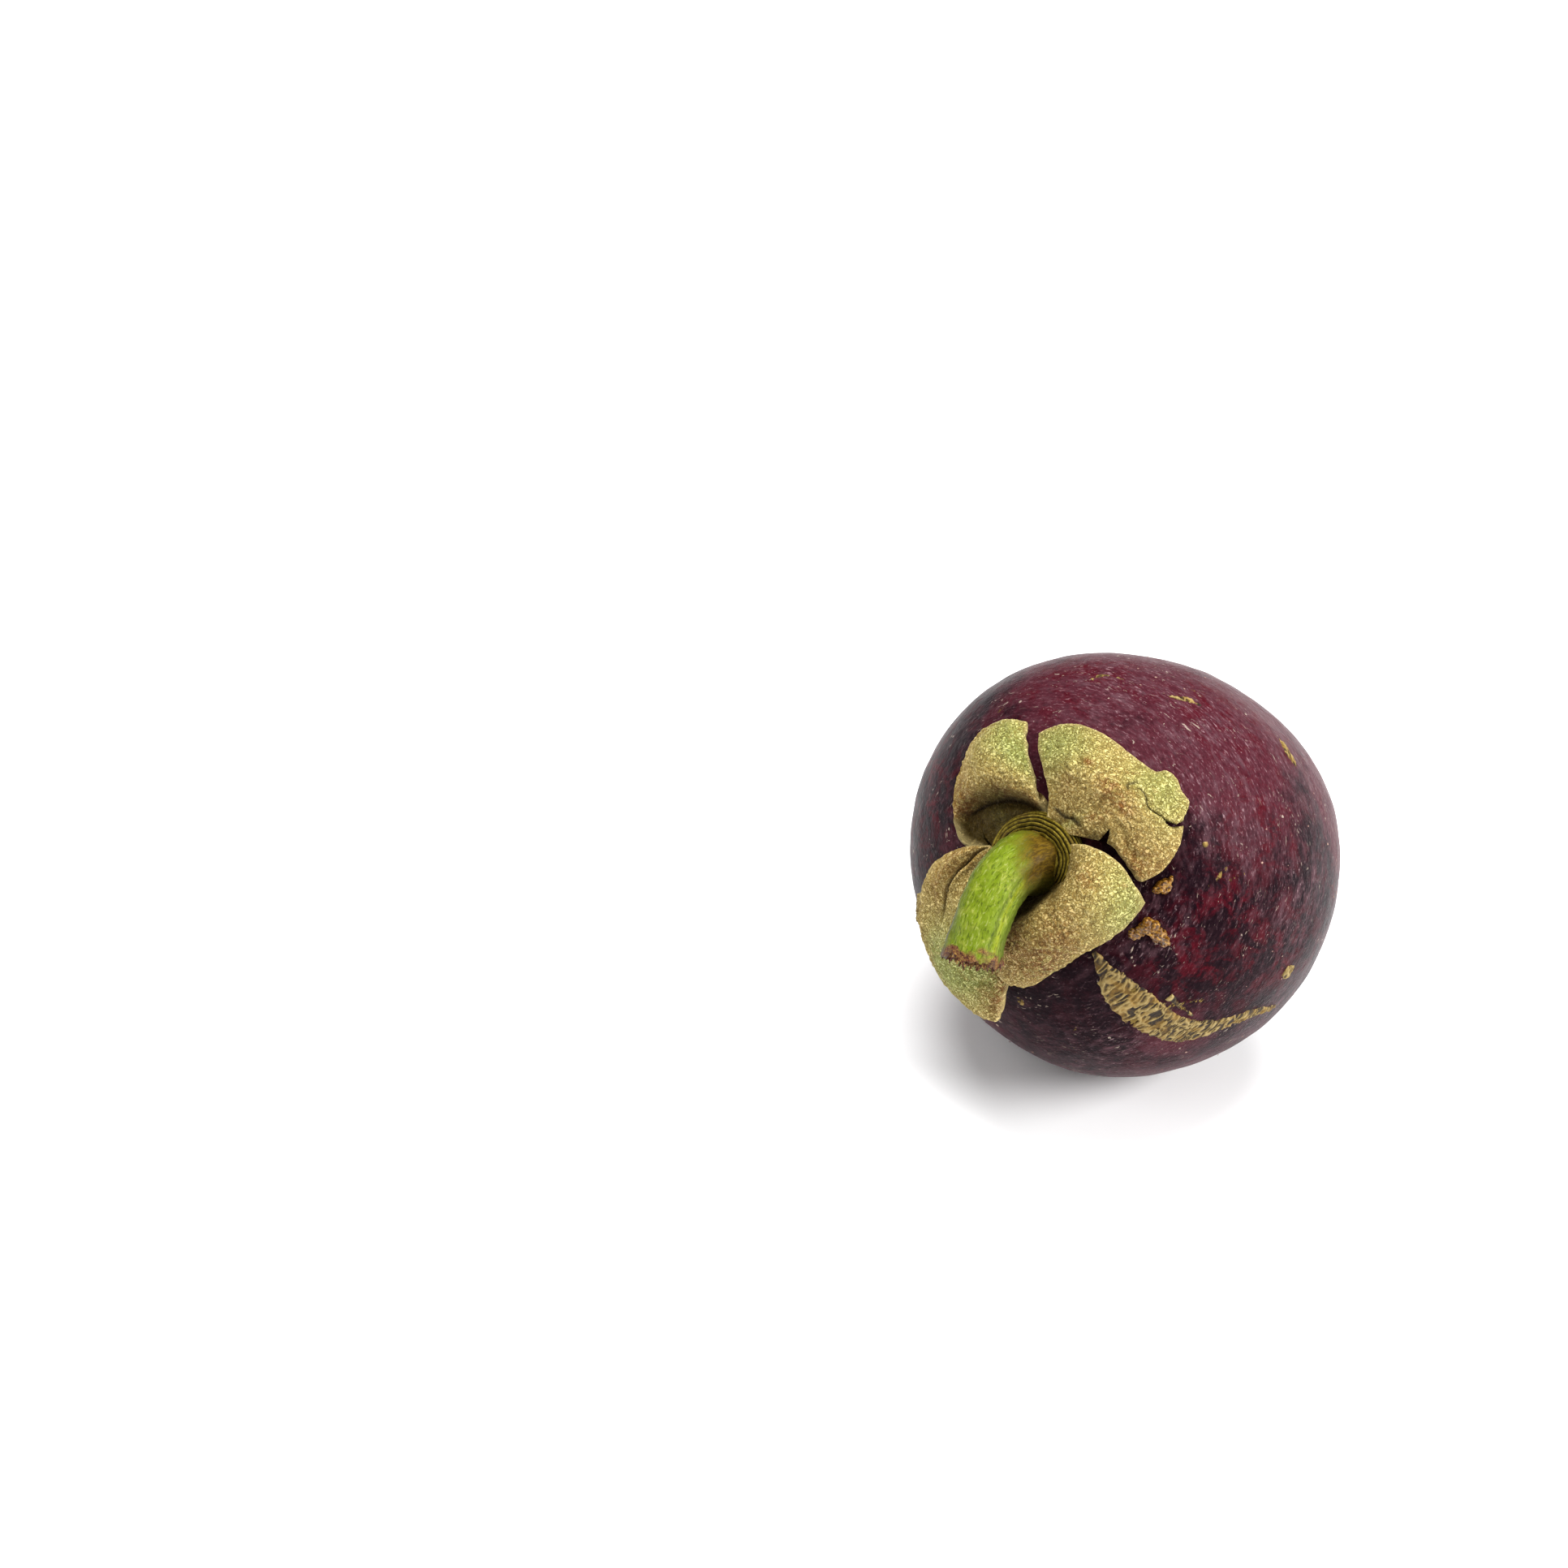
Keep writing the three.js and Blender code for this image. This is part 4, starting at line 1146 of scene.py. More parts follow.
def leaf_surface(leaf):
    """Grids of points over a sepal's two faces, with the numbers that its material uses."""
    calyx = bpy.context.scene.mangosteen_calyx
    places = patch_places(leaf, LEAF_ROWS, LEAF_COLUMNS)
    spread = leaf_spread(places)
    lift, plain, crease, within = leaf_lift(leaf, spread)
    long, wide = spread[-1, 0, 0], spread[0, -1, 1]
    to_edge = np.minimum(np.minimum(spread[..., 1], wide - spread[..., 1]), long - spread[..., 0])
    rounding = np.sqrt(np.clip(1 - (1 - np.clip(to_edge / SEPAL_EDGE, 0, 1)) ** 2, 0, 1))
    first = skin_point(places[..., 0], places[..., 1], lift)
    jitter = EDGE_JITTER * np.stack([ripple(first, 1.3, 20 + k) for k in range(3)], axis=-1)
    jitter *= 1 - rounding[..., None] * 0.6
    smooth, base = first + jitter, skin_point(places[..., 0], places[..., 1], plain) + jitter
    normal = grid_normals(base)
    normal *= np.sign((normal * base).sum(axis=-1, keepdims=True))
    wrinkles = leaf_wrinkles(first, leaf["seed"])
    waves = WAVE_HEIGHT * ripple(smooth, 3.6, 51) * rounding
    thickness = calyx.thickness / MM
    drop = 0.36 * thickness * (1 - rounding)
    top = smooth + normal * (calyx.wrinkles / MM * wrinkles * (0.35 + 0.65 * rounding) + waves - drop)[..., None]
    bottom = base + normal * (waves - thickness + drop)[..., None]
    low = np.maximum(LEAST_GAP - height_over_skin(bottom), 0)
    bottom *= (1 + low / np.linalg.norm(bottom, axis=-1))[..., None]
    short = np.maximum(height_over_skin(bottom) + LEAST_THICKNESS - height_over_skin(top), 0)
    top *= (1 + short / np.linalg.norm(top, axis=-1))[..., None]
    values = {
        "green": spots_over(spread, leaf["green"]),
        "brown": spots_over(spread, leaf["brown"]),
        # dark: painted shade, from the dark spots and the low part inside the ledge
        "dark": np.maximum(spots_over(spread, leaf["dark"]), within),
        # painted shade inside narrow sunk folds
        "crease": np.clip(crease * 0.9, 0, 1),
        "ridge": 0.5 + 0.5 * wrinkles,
        # rim: painted highlight along the edges
        "rim": np.exp(-((to_edge / 0.35) ** 2)),
    }
    return top, bottom, leaf_cells(leaf, spread), values


def make_leaf(name, leaf, material):
    points, faces, values = plate(*leaf_surface(leaf))
    piece = make_piece(name, points, faces, material, values)
    face_outwards(piece.data)
    return piece


class MANGOSTEEN_OT_sepals(bpy.types.Operator):
    """Make the four sepals of the calyx"""

    bl_idname = "mangosteen.sepals"
    bl_label = "Sepals"

    def execute(self, context):
        material = leathery_sepal()
        for side, leaf in SEPALS.items():
            belongs(make_leaf("calyx_" + side, leaf, material), "sepal", "sepal_" + side)
        return {"FINISHED"}


# ---- the stem and its collar ----

COLLAR_CENTRE = (2.1, 0.2)
STEM_PATH = [(1.6, 0.1, 29.6), (1.5, 0.1, 37.4), (1.9, -5.6, 38.8), (3.1, -12.9, 38.6)]
STEM_GIRTH = [1.18, 1.07, 1.01, 0.99, 0.98, 0.98, 1.0, 1.06]  # radius from its foot to its cut end
STEM_SIDES = 110
STEM_LENGTH = 17.0
STEM_STEPS = 150
STEM_CORNERS = 4
COLLAR_PROFILE = [
    # share of the collar's radius, and height over the fruit's centre, from its skirt to the foot of the stem
    (1.02, 28.4), (1.02, 29.6), (0.97, 30.5), (0.88, 31.0), (0.78, 31.15), (0.68, 30.95), (0.59, 30.9), (0.5, 31.2),
    (0.38, 31.6),
]


def stem_tree(material):
    """Sweeps a faceted profile along a bent path: Radius, Facets (how square it is) and the path's four points."""
    path_points = ("Start", "Start Handle", "End Handle", "End")
    numbers = (("Radius", "Float"), ("Facets", "Float"), *((name, "Vector") for name in path_points))
    tree, given = new_group("swept_stem", (("Geometry", "Geometry"), *numbers), "Stem")
    ends = {name: given[name] for name in path_points}
    inputs = {**ends, "Resolution": 64}
    curve = add(tree, "GeometryNodeCurvePrimitiveBezierSegment", {"mode": "POSITION"}, inputs).outputs[0]
    even = add(tree, "GeometryNodeResampleCurve", inputs={"Curve": curve, "Count": STEM_STEPS}).outputs[0]
    along = add(tree, "GeometryNodeSplineParameter").outputs["Factor"]
    girth = add(tree, "ShaderNodeFloatCurve", inputs={"Value": along})
    points = girth.mapping.curves[0].points
    while len(points) < len(STEM_GIRTH):
        points.new(0.5, 0.5)
    for i, share in enumerate(STEM_GIRTH):
        points[i].location = (i / (len(STEM_GIRTH) - 1), share / 2)  # a float curve goes up to 1
    girth.mapping.update()
    radius = times(tree, times(tree, girth.outputs[0], 2.0), given["Radius"])
    thick = add(tree, "GeometryNodeSetCurveRadius", inputs={"Curve": even, "Radius": radius}).outputs[0]
    inputs = {"Geometry": thick, "Name": "along", "Value": along}
    stored = {"data_type": "FLOAT", "domain": "POINT"}
    path = add(tree, "GeometryNodeStoreNamedAttribute", stored, inputs).outputs[0]
    inputs = {"Resolution": STEM_SIDES, "Radius": 1.0}
    ring = add(tree, "GeometryNodeCurvePrimitiveCircle", {"mode": "RADIUS"}, inputs).outputs[0]
    round_share = add(tree, "GeometryNodeSplineParameter").outputs["Factor"]
    corner = maths(tree, "COSINE", times(tree, round_share, STEM_CORNERS * 2 * math.pi))
    factor = maths(tree, "MULTIPLY_ADD", corner, given["Facets"], 1.0)
    here = add(tree, "GeometryNodeInputPosition").outputs[0]
    squared = add(tree, "ShaderNodeVectorMath", {"operation": "SCALE"}, {0: here, "Scale": factor}).outputs[0]
    profile = add(tree, "GeometryNodeSetPosition", inputs={"Geometry": ring, "Position": squared}).outputs[0]
    inputs = {"Curve": path, "Profile Curve": profile, "Scale": radius, "Fill Caps": True}
    return finish_group(tree, add(tree, "GeometryNodeCurveToMesh", inputs=inputs).outputs[0], material)


def bezier(shares):
    a, b, c, d = (np.array(point) for point in STEM_PATH)
    t = np.asarray(shares)[:, None]
    return (1 - t) ** 3 * a + 3 * (1 - t) ** 2 * t * b + 3 * (1 - t) * t**2 * c + t**3 * d


def stem_frame(points):
    """For points round the stem: the nearest share of its path, the axis point there and the way it runs."""
    fine = bezier(np.linspace(0, 1, 400))
    ahead = unit(np.gradient(fine, axis=0))
    nearest = np.argmin(((points[:, None] - fine[None]) ** 2).sum(axis=-1), axis=1)
    return nearest / (len(fine) - 1), fine[nearest], ahead[nearest]


def green_bark():
    """Fresh green stem: matt bark with lengthwise facets, a yellower edge, fine cross-cracks, brown at its foot and
    torn brown fibres at its cut end."""
    stem = bpy.context.scene.mangosteen_stem
    material, tree = new_material("green_bark")
    place = fruit_place(tree)
    out = value_of(tree, "length")
    inputs = {"X": maths(tree, "DIVIDE", out, 2.6), "Y": value_of(tree, "around")}
    lengthwise = add(tree, "ShaderNodeCombineXYZ", inputs=inputs).outputs[0]
    clouds = noise(tree, place, 1.6, 5, 0.7, 0.5)
    streaks = noise(tree, lengthwise, 0.7, 4, 0.65, 0.5)
    fine = noise(tree, lengthwise, 0.30, 3, 0.6, 0.6)
    torn = [(0.32, srgb("#2a1810")), (0.45, srgb("#552a22")), (0.58, stem.wood), (0.72, srgb("#a88a45"))]
    shade = layers(
        tree, blend(tree, step(tree, clouds, 0.50, 0.72), stem.green, srgb("#8a9034")),
        (times(tree, step(tree, streaks, 0.50, 0.66), 0.5), srgb("#86932f")),
        (times(tree, step(tree, out, 0.6 * STEM_LENGTH * MM, 0), 0.35), srgb("#47520f")),
        (value_of(tree, "yellow"), stem.yellow),
        (value_of(tree, "shaded"), srgb("#3d400a")),
        (times(tree, step(tree, fine, 0.54, 0.64), 0.75), srgb("#404c0c")),
        (times(tree, step(tree, fine, 0.44, 0.34), 0.35), srgb("#a9aa6a")),
        (value_of(tree, "foot"), blend(tree, step(tree, fine, 0.42, 0.6), stem.brown, srgb("#5c470e"))),
        # painted shade in the groove beside the yellow strip and on the underside
        (value_of(tree, "groove"), srgb("#333d0c")),
        (value_of(tree, "torn"), ramp(tree, noise(tree, place, 0.45, 3, 0.7, 1.5), torn)),
        (value_of(tree, "bark"), ramp(tree, fine, [(0.35, srgb("#1f1c18")), (0.7, srgb("#5d5444"))])),
    )
    relief = bump(tree, fine, 0.10, bump(tree, streaks, 0.15, bump(tree, clouds, 0.12)))
    finish_material(tree, shade, 0.55, relief, gloss=0.22)
    return material


def make_stalk(material):
    """The swept stem, with lumps and grooves in its bark and a ragged, torn end."""
    stem = bpy.context.scene.mangosteen_stem
    start, first, second, end = STEM_PATH
    piece = empty_piece("stem_stalk", material)
    values = {"Start": start, "Start Handle": first, "End Handle": second, "End": end}
    use_tree(piece, stem_tree(material), {**values, "Radius": stem.radius / MM, "Facets": 0.045})
    points = read_points(piece.data)
    share, axis, ahead = stem_frame(points)
    outward = points - axis
    outward -= (outward * ahead).sum(axis=1, keepdims=True) * ahead
    out = outward / np.maximum(np.linalg.norm(outward, axis=1), 1e-6)[:, None]
    side = out @ np.array([1.0, 0.0, 0.0])
    upper = unit(np.cross(ahead, [1.0, 0.0, 0.0]))
    upper *= np.sign(upper[:, 2:])
    around = np.arctan2((out * upper).sum(axis=1), side)
    near_end = np.clip((share - 0.90) / 0.10, 0, 1)
    ragged = 0.9 * ripple(points, 1.2, 61) + 0.5 * ripple(points, 0.5, 62)
    flap = np.exp(-(((side + 0.95) / 0.35) ** 2))
    reach = near_end**2 * (ragged * 1.3 + 1.2 * flap - 0.3)
    unrolled = np.stack([around * 3.3, share * 5, 0 * share], axis=-1)
    lengthwise = 0.16 * ripple(unrolled, 1.1, 63) + 0.09 * ripple(unrolled, 0.5, 68)
    lumps = 0.16 * ripple(points, 2.6, 64) + 0.07 * ripple(points, 0.9, 65) + 0.04 * ripple(points, 0.45, 70)
    lip = near_end**3 * (0.35 * ripple(points, 0.9, 66) + 0.12)
    edge_strip = np.exp(-(((around - 0.36) / 0.11) ** 2)) * np.clip((share - 0.25) * 5, 0, 1)
    edge_line = np.exp(-(((around - 0.58) / 0.06) ** 2)) * np.clip((share - 0.3) * 5, 0, 1)
    # under: painted shade on the underside of the stem
    under = np.clip(0.5 - around * 2.2, 0, 1) * (np.abs(around) < math.pi / 2)
    swelling = (lengthwise + lumps + lip - 0.14 * edge_line) * ~(share > 0.999)
    values = {
        "length": share * STEM_LENGTH * MM,
        "around": around * stem.radius,
        "yellow": edge_strip * 0.8,
        # painted shade in the groove and on the underside
        "groove": np.clip(edge_line * 0.5 + under * 0.6, 0, 1),
        "foot": np.clip(1.2 - share * 3.6 + 0.8 * side + 0.3 * ripple(points, 1.5, 67), 0, 1),
        "torn": np.clip((share - 0.925) / 0.05 + 1.5 * ripple(points, 0.9, 69), 0, 1),
        "shaded": np.clip(-0.35 - side * 1.35, 0, 1) * 0.8,
        "bark": np.clip(flap * (share - 0.5) * 4 + 0.3 * ripple(points, 0.7, 71), 0, 1) * flap * (share > 0.45),
    }
    piece.data.vertices.foreach_set("co", to_row(points + out * swelling[:, None] + ahead * reach[:, None]).ravel())
    set_values(piece.data, values)
    piece.data.update()
    fan_caps(piece.data)
    piece.data.shade_smooth()
    return piece


def fan_caps(mesh):
    """Divides the flat caps at both ends into fans of triangles."""
    shell = bmesh.new()
    shell.from_mesh(mesh)
    bmesh.ops.poke(shell, faces=[face for face in shell.faces if len(face.verts) > 8])
    bmesh.ops.recalc_face_normals(shell, faces=shell.faces)
    shell.to_mesh(mesh)
    shell.free()


def torn_fibres():
    """Torn wood fibres: dry, dull and splintered, dark red-brown with straw-coloured strands."""
    material, tree = new_material("torn_fibres")
    wood = bpy.context.scene.mangosteen_stem.wood
    stops = [(0.34, srgb("#1d110b")), (0.46, srgb("#4d2019")), (0.56, wood), (0.70, srgb("#a98a4c"))]
    shade = ramp(tree, noise(tree, fruit_place(tree), 0.7, 3, 0.7, 1.0), stops)
    finish_material(tree, shade, 0.75, gloss=0.3)
    return material


def one_splinter():
    """A flattened splinter, one unit long and blunt, standing on its root."""
    shape = bmesh.new()
    bmesh.ops.create_cone(shape, cap_ends=True, segments=5, radius1=0.16, radius2=0.05, depth=1)
    for vertex in shape.verts:
        vertex.co.y *= 0.6
        vertex.co.z += 0.3
    return loose_object("splinter", shape)


END_SIDES = 24  # corners of the disc that the splinters stand on


def make_fibres(material):
    """Splinters over the stem's cut end."""
    stem = bpy.context.scene.mangosteen_stem
    end, before = bezier([1.0, 0.98])
    ahead = Vector(end - before).normalized()
    turned = ahead.to_track_quat("Z", "X").to_matrix()
    turn = np.linspace(0, 2 * math.pi, END_SIDES, endpoint=False)
    reach = stem.radius / MM * STEM_GIRTH[-1] * 0.95
    ring = np.stack([reach * np.cos(turn), reach * np.sin(turn), 0 * turn], axis=-1) @ np.array(turned).T
    middle = end - np.array(ahead) * 0.1
    points = np.concatenate([middle[None] + ring, middle[None]])
    faces = [[k, (k + 1) % END_SIDES, END_SIDES] for k in range(END_SIDES)]
    piece = make_piece("stem_fibres", points, faces, material)
    splinter = one_splinter()
    sizes = {"Density": 4.5e6, "Smallest": 0.5 * MM, "Largest": 2.0 * MM, "Tilt": 0.6, "Seed": 11}
    use_tree(piece, scatter_tree("scattered_splinters", splinter, material), sizes)
    bpy.data.objects.remove(splinter)
    piece.data.shade_flat()
    return piece


def collar_skin():
    """Skin of the collar: dull green and brown, gathered in rings, with painted shade in the grooves between the rings
    and on the side that lies sunk behind a sepal.
    """
    material, tree = new_material("collar_skin")
    place = fruit_place(tree)
    fine = noise(tree, place, 0.7, 3, 0.6, 1.0)
    shade = layers(
        tree, blend(tree, step(tree, fine, 0.4, 0.65), srgb("#594b10"), srgb("#84742a")),
        (step(tree, noise(tree, place, 2.2, 3), 0.5, 0.7), srgb("#5a4620")),
        # painted shade on the side of the collar sunk behind a sepal
        (value_of(tree, "sunk"), srgb("#3f2c0d")),
        # painted shade in the grooves between the rings
        (value_of(tree, "crease"), srgb("#161004")),
    )
    finish_material(tree, shade, 0.7, bump(tree, fine, 0.12), gloss=0.2)
    return material


COLLAR_RINGS = 11
# the collar is also painted darker there, as shade
SUNK_SIDE = -62  # azimuth where the collar lies low behind a sepal
SUNK_DEPTH = 1.5


def make_collar(material):
    """The collar: its profile turned about the fruit's axis, gathered in rings and sunk on one side."""
    stem = bpy.context.scene.mangosteen_stem
    rows, columns = 120, 260
    profile = even_curve([(reach * stem.collar_radius / MM, rise) for reach, rise in COLLAR_PROFILE], rows)
    turn = np.linspace(0, 2 * math.pi, columns, endpoint=False)
    share = np.linspace(0, 1, rows)[:, None] + 0 * turn
    round_place = np.stack([np.cos(turn) * 6 + 0 * share, np.sin(turn) * 6 + 0 * share, share * 5], axis=-1)
    wander = 0.035 * ripple(round_place, 3.0, 71) + 0.012 * ripple(round_place, 1.2, 72)
    phase = (share + wander) * COLLAR_RINGS * 2 * math.pi
    window = np.clip(np.minimum(share / 0.2, (1 - share) / 0.12), 0, 1)
    ring = (0.5 + 0.5 * np.cos(phase)) ** 0.7
    away = (turn - math.radians(SUNK_SIDE) + math.pi) % (2 * math.pi) - math.pi
    # sunk: where the collar lies low behind a sepal, and where painted shade goes
    sunk = np.exp(-((np.abs(away) / math.radians(58)) ** 4))
    height = window * (0.26 * ring - 0.13) + 0.05 * ripple(round_place, 0.9, 73) - SUNK_DEPTH * sunk
    radius = profile[:, :1] * (1 - 0.16 * sunk) + 0.15 * window * ring
    x, y = COLLAR_CENTRE[0] + radius * np.cos(turn), COLLAR_CENTRE[1] + radius * np.sin(turn)
    points = np.stack([x, y, profile[:, 1:] + height], axis=-1).reshape(-1, 3)
    index = np.arange(rows * columns).reshape(rows, columns)
    beside = np.roll(index, -1, axis=1)
    faces = np.stack([index[:-1], beside[:-1], beside[1:], index[1:]], axis=-1).reshape(-1, 4).tolist()
    faces += [index[-1].tolist(), index[0, ::-1].tolist()]
    # painted shade in the grooves between the rings
    crease = np.clip((1 - ring) * 1.7 - 0.5, 0, 1) * window
    piece = make_piece("stem_collar", points, faces, material, {"crease": crease, "sunk": sunk + 0 * share})
    face_outwards(piece.data)
    return piece


class MANGOSTEEN_OT_stem(bpy.types.Operator):
    """Make the bent green stem with its ragged cut end"""

    bl_idname = "mangosteen.stem"
    bl_label = "Stem"

    def execute(self, context):
        belongs(make_stalk(green_bark()), "stem", "stem")
        belongs(make_fibres(torn_fibres()), "stem")
        return {"FINISHED"}


class MANGOSTEEN_OT_collar(bpy.types.Operator):
    """Make the ringed collar at the foot of the stem"""

    bl_idname = "mangosteen.collar"
    bl_label = "Collar"

    def execute(self, context):
        belongs(make_collar(collar_skin()), "stem", "stem")
        return {"FINISHED"}


# ---- the flower mark and the sap ----


def dry_bark():
    """Old stigma lobes: hard, woody and dull, dark red-brown with olive edges."""
    marks = bpy.context.scene.mangosteen_marks
    material, tree = new_material("dry_bark")
    place = fruit_place(tree)
    clouds = noise(tree, place, 1.4, 4, 0.65, 0.8)
    fine = noise(tree, place, 0.4, 3, 0.6, 1.0)
    shade = ramp(tree, clouds, [(0.3, srgb("#2b1a16")), (0.5, marks.bark), (0.72, srgb("#6f5a3a"))])
    shade = blend(tree, times(tree, step(tree, fine, 0.55, 0.7), 0.5), shade, srgb("#8a6f5c"))
    finish_material(tree, shade, 0.72, bump(tree, fine, 0.12, bump(tree, clouds, 0.2)), ior=1.5)
    return material


BLOSSOM_CURVE = 28  # radius of the skin that the lobes lie on


def lobe_shape(radius):
    """One woody lobe, lying along +X, blunt and thick at its outer end."""
    rows, columns = 26, 26
    out, side = np.meshgrid(np.linspace(0, 1, rows), np.linspace(-1, 1, columns), indexing="ij")
    half = math.pi / 6.6
    reach = radius * (0.06 + 0.94 * out) * (1 - 0.10 * side**2 * out)
    x, y = reach * np.cos(side * half), reach * np.sin(side * half)
    rim = np.clip(np.minimum(1 - np.abs(side), (1 - out) * 1.6) / 0.28, 0, 1)
    dome = 0.55 + 1.05 * np.sqrt(rim) * (0.55 + 0.45 * out)
    dip = -(x**2 + y**2) / (2 * BLOSSOM_CURVE)
    top = np.stack([x, y, dome + dip + 0.12 * ripple(np.stack([x, y, dome], axis=-1), 1.2, 81)], axis=-1)
    bottom = np.stack([x, y, dip - 0.7], axis=-1)
    points, faces, _ = plate(top, bottom, np.ones((rows - 1, columns - 1), bool), {})
    mesh = bpy.data.meshes.new("lobe")
    mesh.from_pydata(points.tolist(), [], faces.tolist())
    face_outwards(mesh)
    return bpy.data.objects.new("lobe", mesh)


def rosette_tree(lobe, material):
    """Sets Lobes copies of a lobe round a ring, each a little turned and sized by the Seed, and joins them."""
    inputs = (("Geometry", "Geometry"), ("Lobes", "Int"), ("Unevenness", "Float"), ("Seed", "Int"))
    tree, given = new_group("ring_of_lobes", inputs, "Rosette")
    inputs = {"Count": given["Lobes"], "Start Location": (0, 0, 0), "Offset": (0, 0, 0)}
    line = add(tree, "GeometryNodeMeshLine", {"mode": "OFFSET"}, inputs).outputs[0]
    number = add(tree, "GeometryNodeInputIndex").outputs[0]
    turn = times(tree, number, maths(tree, "DIVIDE", 2 * math.pi, given["Lobes"]))
    extra = chance_between(tree, times(tree, given["Unevenness"], -0.5), given["Unevenness"], given["Seed"])
    rotation = add(tree, "ShaderNodeCombineXYZ", inputs={"Z": maths(tree, "ADD", turn, extra)}).outputs[0]
    return finish_group(tree, copies_at(tree, line, lobe, rotation, maths(tree, "ADD", 1.0, extra)), material)


def melt_together(piece, voxel):
    """Joins overlapping shells into one closed skin."""
    remesh = piece.modifiers.new("melt", "REMESH")
    remesh.mode = "VOXEL"
    remesh.voxel_size = voxel
    remesh.use_smooth_shade = True
    return plain_mesh(piece)


def make_rosette(material):
    marks = bpy.context.scene.mangosteen_marks
    piece = empty_piece("flower_mark", material)
    lobe = lobe_shape(marks.rosette_radius / MM)
    use_tree(piece, rosette_tree(lobe, material), {"Lobes": marks.lobes, "Unevenness": 0.07, "Seed": 3})
    bpy.data.objects.remove(lobe)
    melt_together(piece, 0.13)
    points = read_points(piece.data)
    points += 0.10 * ripple(points, 0.8, 82)[:, None] * np.sign(points[:, 2:] + 0.2) * [0.4, 0.4, 1]
    end = settings().blossom_end / MM
    return reshape(piece, points * [1, -1, -1] + [0, 0, -end + 0.35], material)


def dried_sap():
    """Dried yellow latex: resin set in rough glassy lumps, amber and slightly see-through, with sharp glints."""
    sap = bpy.context.scene.mangosteen_marks.sap
    material, tree = new_material("dried_sap")
    place = fruit_place(tree)
    clouds = noise(tree, place, 0.45, 3, 0.6, 0.8)
    shade = ramp(tree, clouds, [(0.36, srgb("#2e1a06")), (0.5, sap), (0.64, srgb("#a87f34"))])
    depth = {"Subsurface Weight": 0.15, "Subsurface Radius": (1.0, 0.5, 0.15), "Subsurface Scale": 0.8 * MM}
    finish_material(tree, shade, 0.28, bump(tree, noise(tree, place, 0.3, 3), 0.12), ior=1.52, others=depth)
    return material


SAP_CRUMBS = 9  # small crumbs stuck over each lump of sap


def make_bead(name, lumps, material):
    """A bead of sap, melted together from lumps with crumbs on them."""
    chance = np.random.default_rng(len(lumps))
    crumbs = [(0, 0, 1.0)] + [(*chance.normal(0, 0.55, 2), chance.uniform(0.3, 0.5)) for _ in range(SAP_CRUMBS)]
    shape = bmesh.new()
    for colatitude, azimuth, radius, rise in lumps:
        middle = skin_point(np.array(colatitude), np.array(azimuth), np.array(rise * 0.2))
        upright = Vector(middle).normalized().to_track_quat("Z", "Y").to_matrix().to_4x4()
        for x, y, size in crumbs:
            spot = Matrix.Translation(Vector((x * radius, y * radius, (1 - size) * rise * 0.9)))
            squash = Matrix.Diagonal((radius * size, radius * size, rise * size, 1))
            placed = Matrix.Translation(middle) @ upright @ spot @ squash
            bmesh.ops.create_icosphere(shape, subdivisions=2, radius=1, matrix=placed)
    piece = melt_together(into_scene(loose_object(name, shape)), 0.075)
    points = read_points(piece.data)
    rough = 0.17 * ripple(points, 0.5, 91) + 0.09 * ripple(points, 0.25, 92)
    return reshape(piece, points + unit(points) * (rough * (height_over_skin(points) > -0.1))[:, None], material)


class MANGOSTEEN_OT_flower_mark(bpy.types.Operator):
    """Make the woody flower mark at the blossom end"""

    bl_idname = "mangosteen.flower_mark"
    bl_label = "Flower mark"

    def execute(self, context):
        belongs(make_rosette(dry_bark()), "rosette", "stigma_rosette")
        return {"FINISHED"}


class MANGOSTEEN_OT_sap(bpy.types.Operator):
    """Make the two beads of dried sap"""

    bl_idname = "mangosteen.sap"
    bl_label = "Dried sap"

    def execute(self, context):
        material = dried_sap()
        for name, bead in SAP_BEADS.items():
            belongs(make_bead(name, bead["lumps"], material), "latex", bead["replaces"])
        return {"FINISHED"}


# ---- the studio ----

# Where the fruit's centre sits, right of and above the middle, as shares of the frame's width.
AIM = (0.2140, -0.0490)
SENSOR = 36.0
FLOOR_SIDE = 6.0
ROOM_LIGHT = 0.3  # strength of the even light from all round
LIGHTS = {
    # name: (direction towards it from the fruit, distance, side, power, whether gloss shows it)
    "window": ((0.78, 0.25, 0.57), 1.1, 0.55, 16.0, True),
    "overhead": ((-0.15, 0.15, 1.0), 1.2, 1.0, 24.0, False),
    "front_fill": ((-0.3, -1.0, 1.0), 1.5, 1.0, 7.0, False),
}


def make_floor():
    half = FLOOR_SIDE / 2
    corners = np.array([(-half, -half, 0), (half, -half, 0), (half, half, 0), (-half, half, 0)])
    material, tree = new_material("white_card")
    finish_material(tree, (0.9, 0.9, 0.9, 1), 0.9, ior=1.5)
    floor = make_piece("floor", corners, np.array([[0, 1, 2, 3]]), material, in_row=True)


def make_light(name, toward, distance, side, power, glossy):
    light = bpy.data.lights.new(name, "AREA")
    light.shape = "DISK"
    light.size = side
    light.energy = power
    holder = bpy.data.objects.new(name, light)
    away = Vector(toward).normalized()
    holder.location = Vector(fruit_centre() * MM) + away * distance
    holder.visible_glossy = glossy
    holder.rotation_euler = away.to_track_quat("Z", "Y").to_euler()
    into_scene(holder)


def make_world(strength):
    world = bpy.data.worlds.new("studio")
    bpy.context.scene.world = world
    world.use_nodes = True
    tree = world.node_tree
    tree.nodes.clear()
    sky = add(tree, "ShaderNodeBackground", inputs={"Color": (1, 1, 1, 1), "Strength": strength})
    add(tree, "ShaderNodeOutputWorld", inputs={"Surface": sky.outputs[0]})
    world.cycles_visibility.glossy = False  # the room beyond the lamps is dark


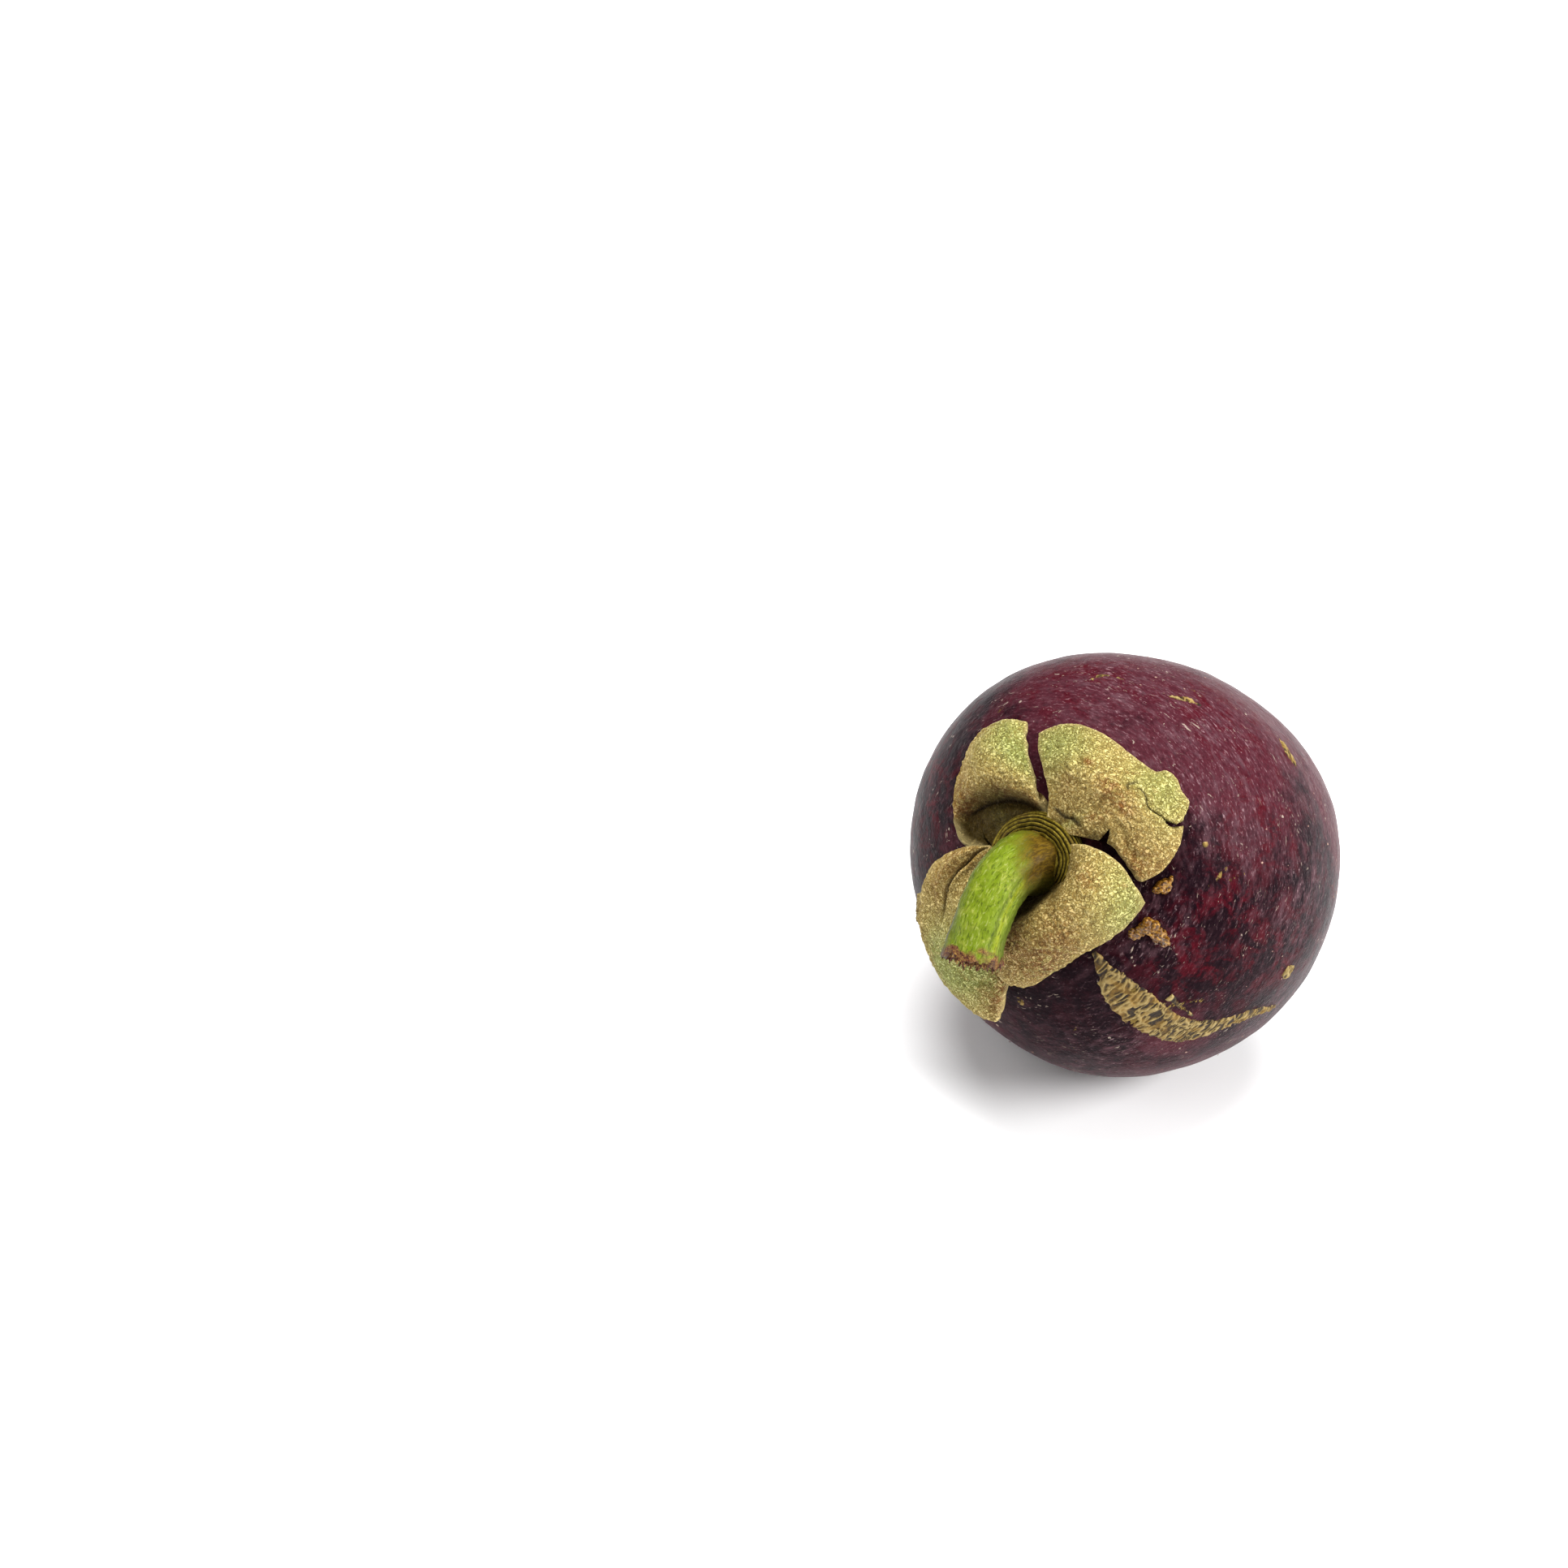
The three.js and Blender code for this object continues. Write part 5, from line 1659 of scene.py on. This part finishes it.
def make_camera():
    studio = bpy.context.scene.mangosteen_studio
    camera = bpy.data.cameras.new("camera")
    camera.lens = studio.lens
    camera.sensor_width = SENSOR
    camera.clip_start = 0.01
    turned = Euler((math.pi / 2 - studio.elevation, 0, studio.azimuth)).to_matrix()
    shown_width = SENSOR / studio.lens
    ray = turned @ Vector((AIM[0] * shown_width, AIM[1] * shown_width, -1)).normalized()
    holder = bpy.data.objects.new("camera", camera)
    holder.location = Vector(fruit_centre() * MM) - ray * studio.distance
    holder.rotation_euler = turned.to_euler()
    bpy.context.scene.camera = into_scene(holder)


class MANGOSTEEN_OT_stage(bpy.types.Operator):
    """Set up the camera, the floor and soft studio light"""

    bl_idname = "mangosteen.stage"
    bl_label = "Stage"

    def execute(self, context):
        make_camera()
        make_floor()
        make_world(ROOM_LIGHT)
        for name, settings_of in LIGHTS.items():
            make_light(name, *settings_of)
        context.scene.view_settings.view_transform = "Standard"
        return {"FINISHED"}


# ---- the add-on ----

OPERATORS = (
    MANGOSTEEN_OT_stage,
    MANGOSTEEN_OT_rind,
    MANGOSTEEN_OT_scars,
    MANGOSTEEN_OT_flecks,
    MANGOSTEEN_OT_sepals,
    MANGOSTEEN_OT_collar,
    MANGOSTEEN_OT_stem,
    MANGOSTEEN_OT_flower_mark,
    MANGOSTEEN_OT_sap,
)
GROUPS = {
    "mangosteen_rind": MANGOSTEEN_PG_rind,
    "mangosteen_calyx": MANGOSTEEN_PG_calyx,
    "mangosteen_stem": MANGOSTEEN_PG_stem,
    "mangosteen_marks": MANGOSTEEN_PG_marks,
    "mangosteen_studio": MANGOSTEEN_PG_studio,
}


class MANGOSTEEN_PT_panel(bpy.types.Panel):
    """Lists the mangosteen's settings and the buttons that make its pieces"""

    bl_idname = "MANGOSTEEN_PT_panel"
    bl_label = "Mangosteen"
    bl_space_type = "VIEW_3D"
    bl_region_type = "UI"
    bl_category = "Mangosteen"

    def draw(self, context):
        for group, kind in GROUPS.items():
            box = self.layout.box()
            for name in kind.__annotations__:
                box.prop(getattr(context.scene, group), name)
        for operator in OPERATORS:
            self.layout.operator(operator.bl_idname)


def register():
    for kind in (*GROUPS.values(), *OPERATORS, MANGOSTEEN_PT_panel):
        bpy.utils.register_class(kind)
    for name, kind in GROUPS.items():
        setattr(bpy.types.Scene, name, PointerProperty(type=kind))


def unregister():
    for name in GROUPS:
        delattr(bpy.types.Scene, name)
    for kind in (MANGOSTEEN_PT_panel, *reversed(OPERATORS), *reversed(GROUPS.values())):
        bpy.utils.unregister_class(kind)


def main():
    register()
    bpy.ops.mangosteen.stage()
    bpy.ops.mangosteen.rind()
    bpy.ops.mangosteen.scars()
    bpy.ops.mangosteen.flecks()
    bpy.ops.mangosteen.sepals()
    bpy.ops.mangosteen.collar()
    bpy.ops.mangosteen.stem()
    bpy.ops.mangosteen.flower_mark()
    bpy.ops.mangosteen.sap()


if __name__ == "__main__":
    main()
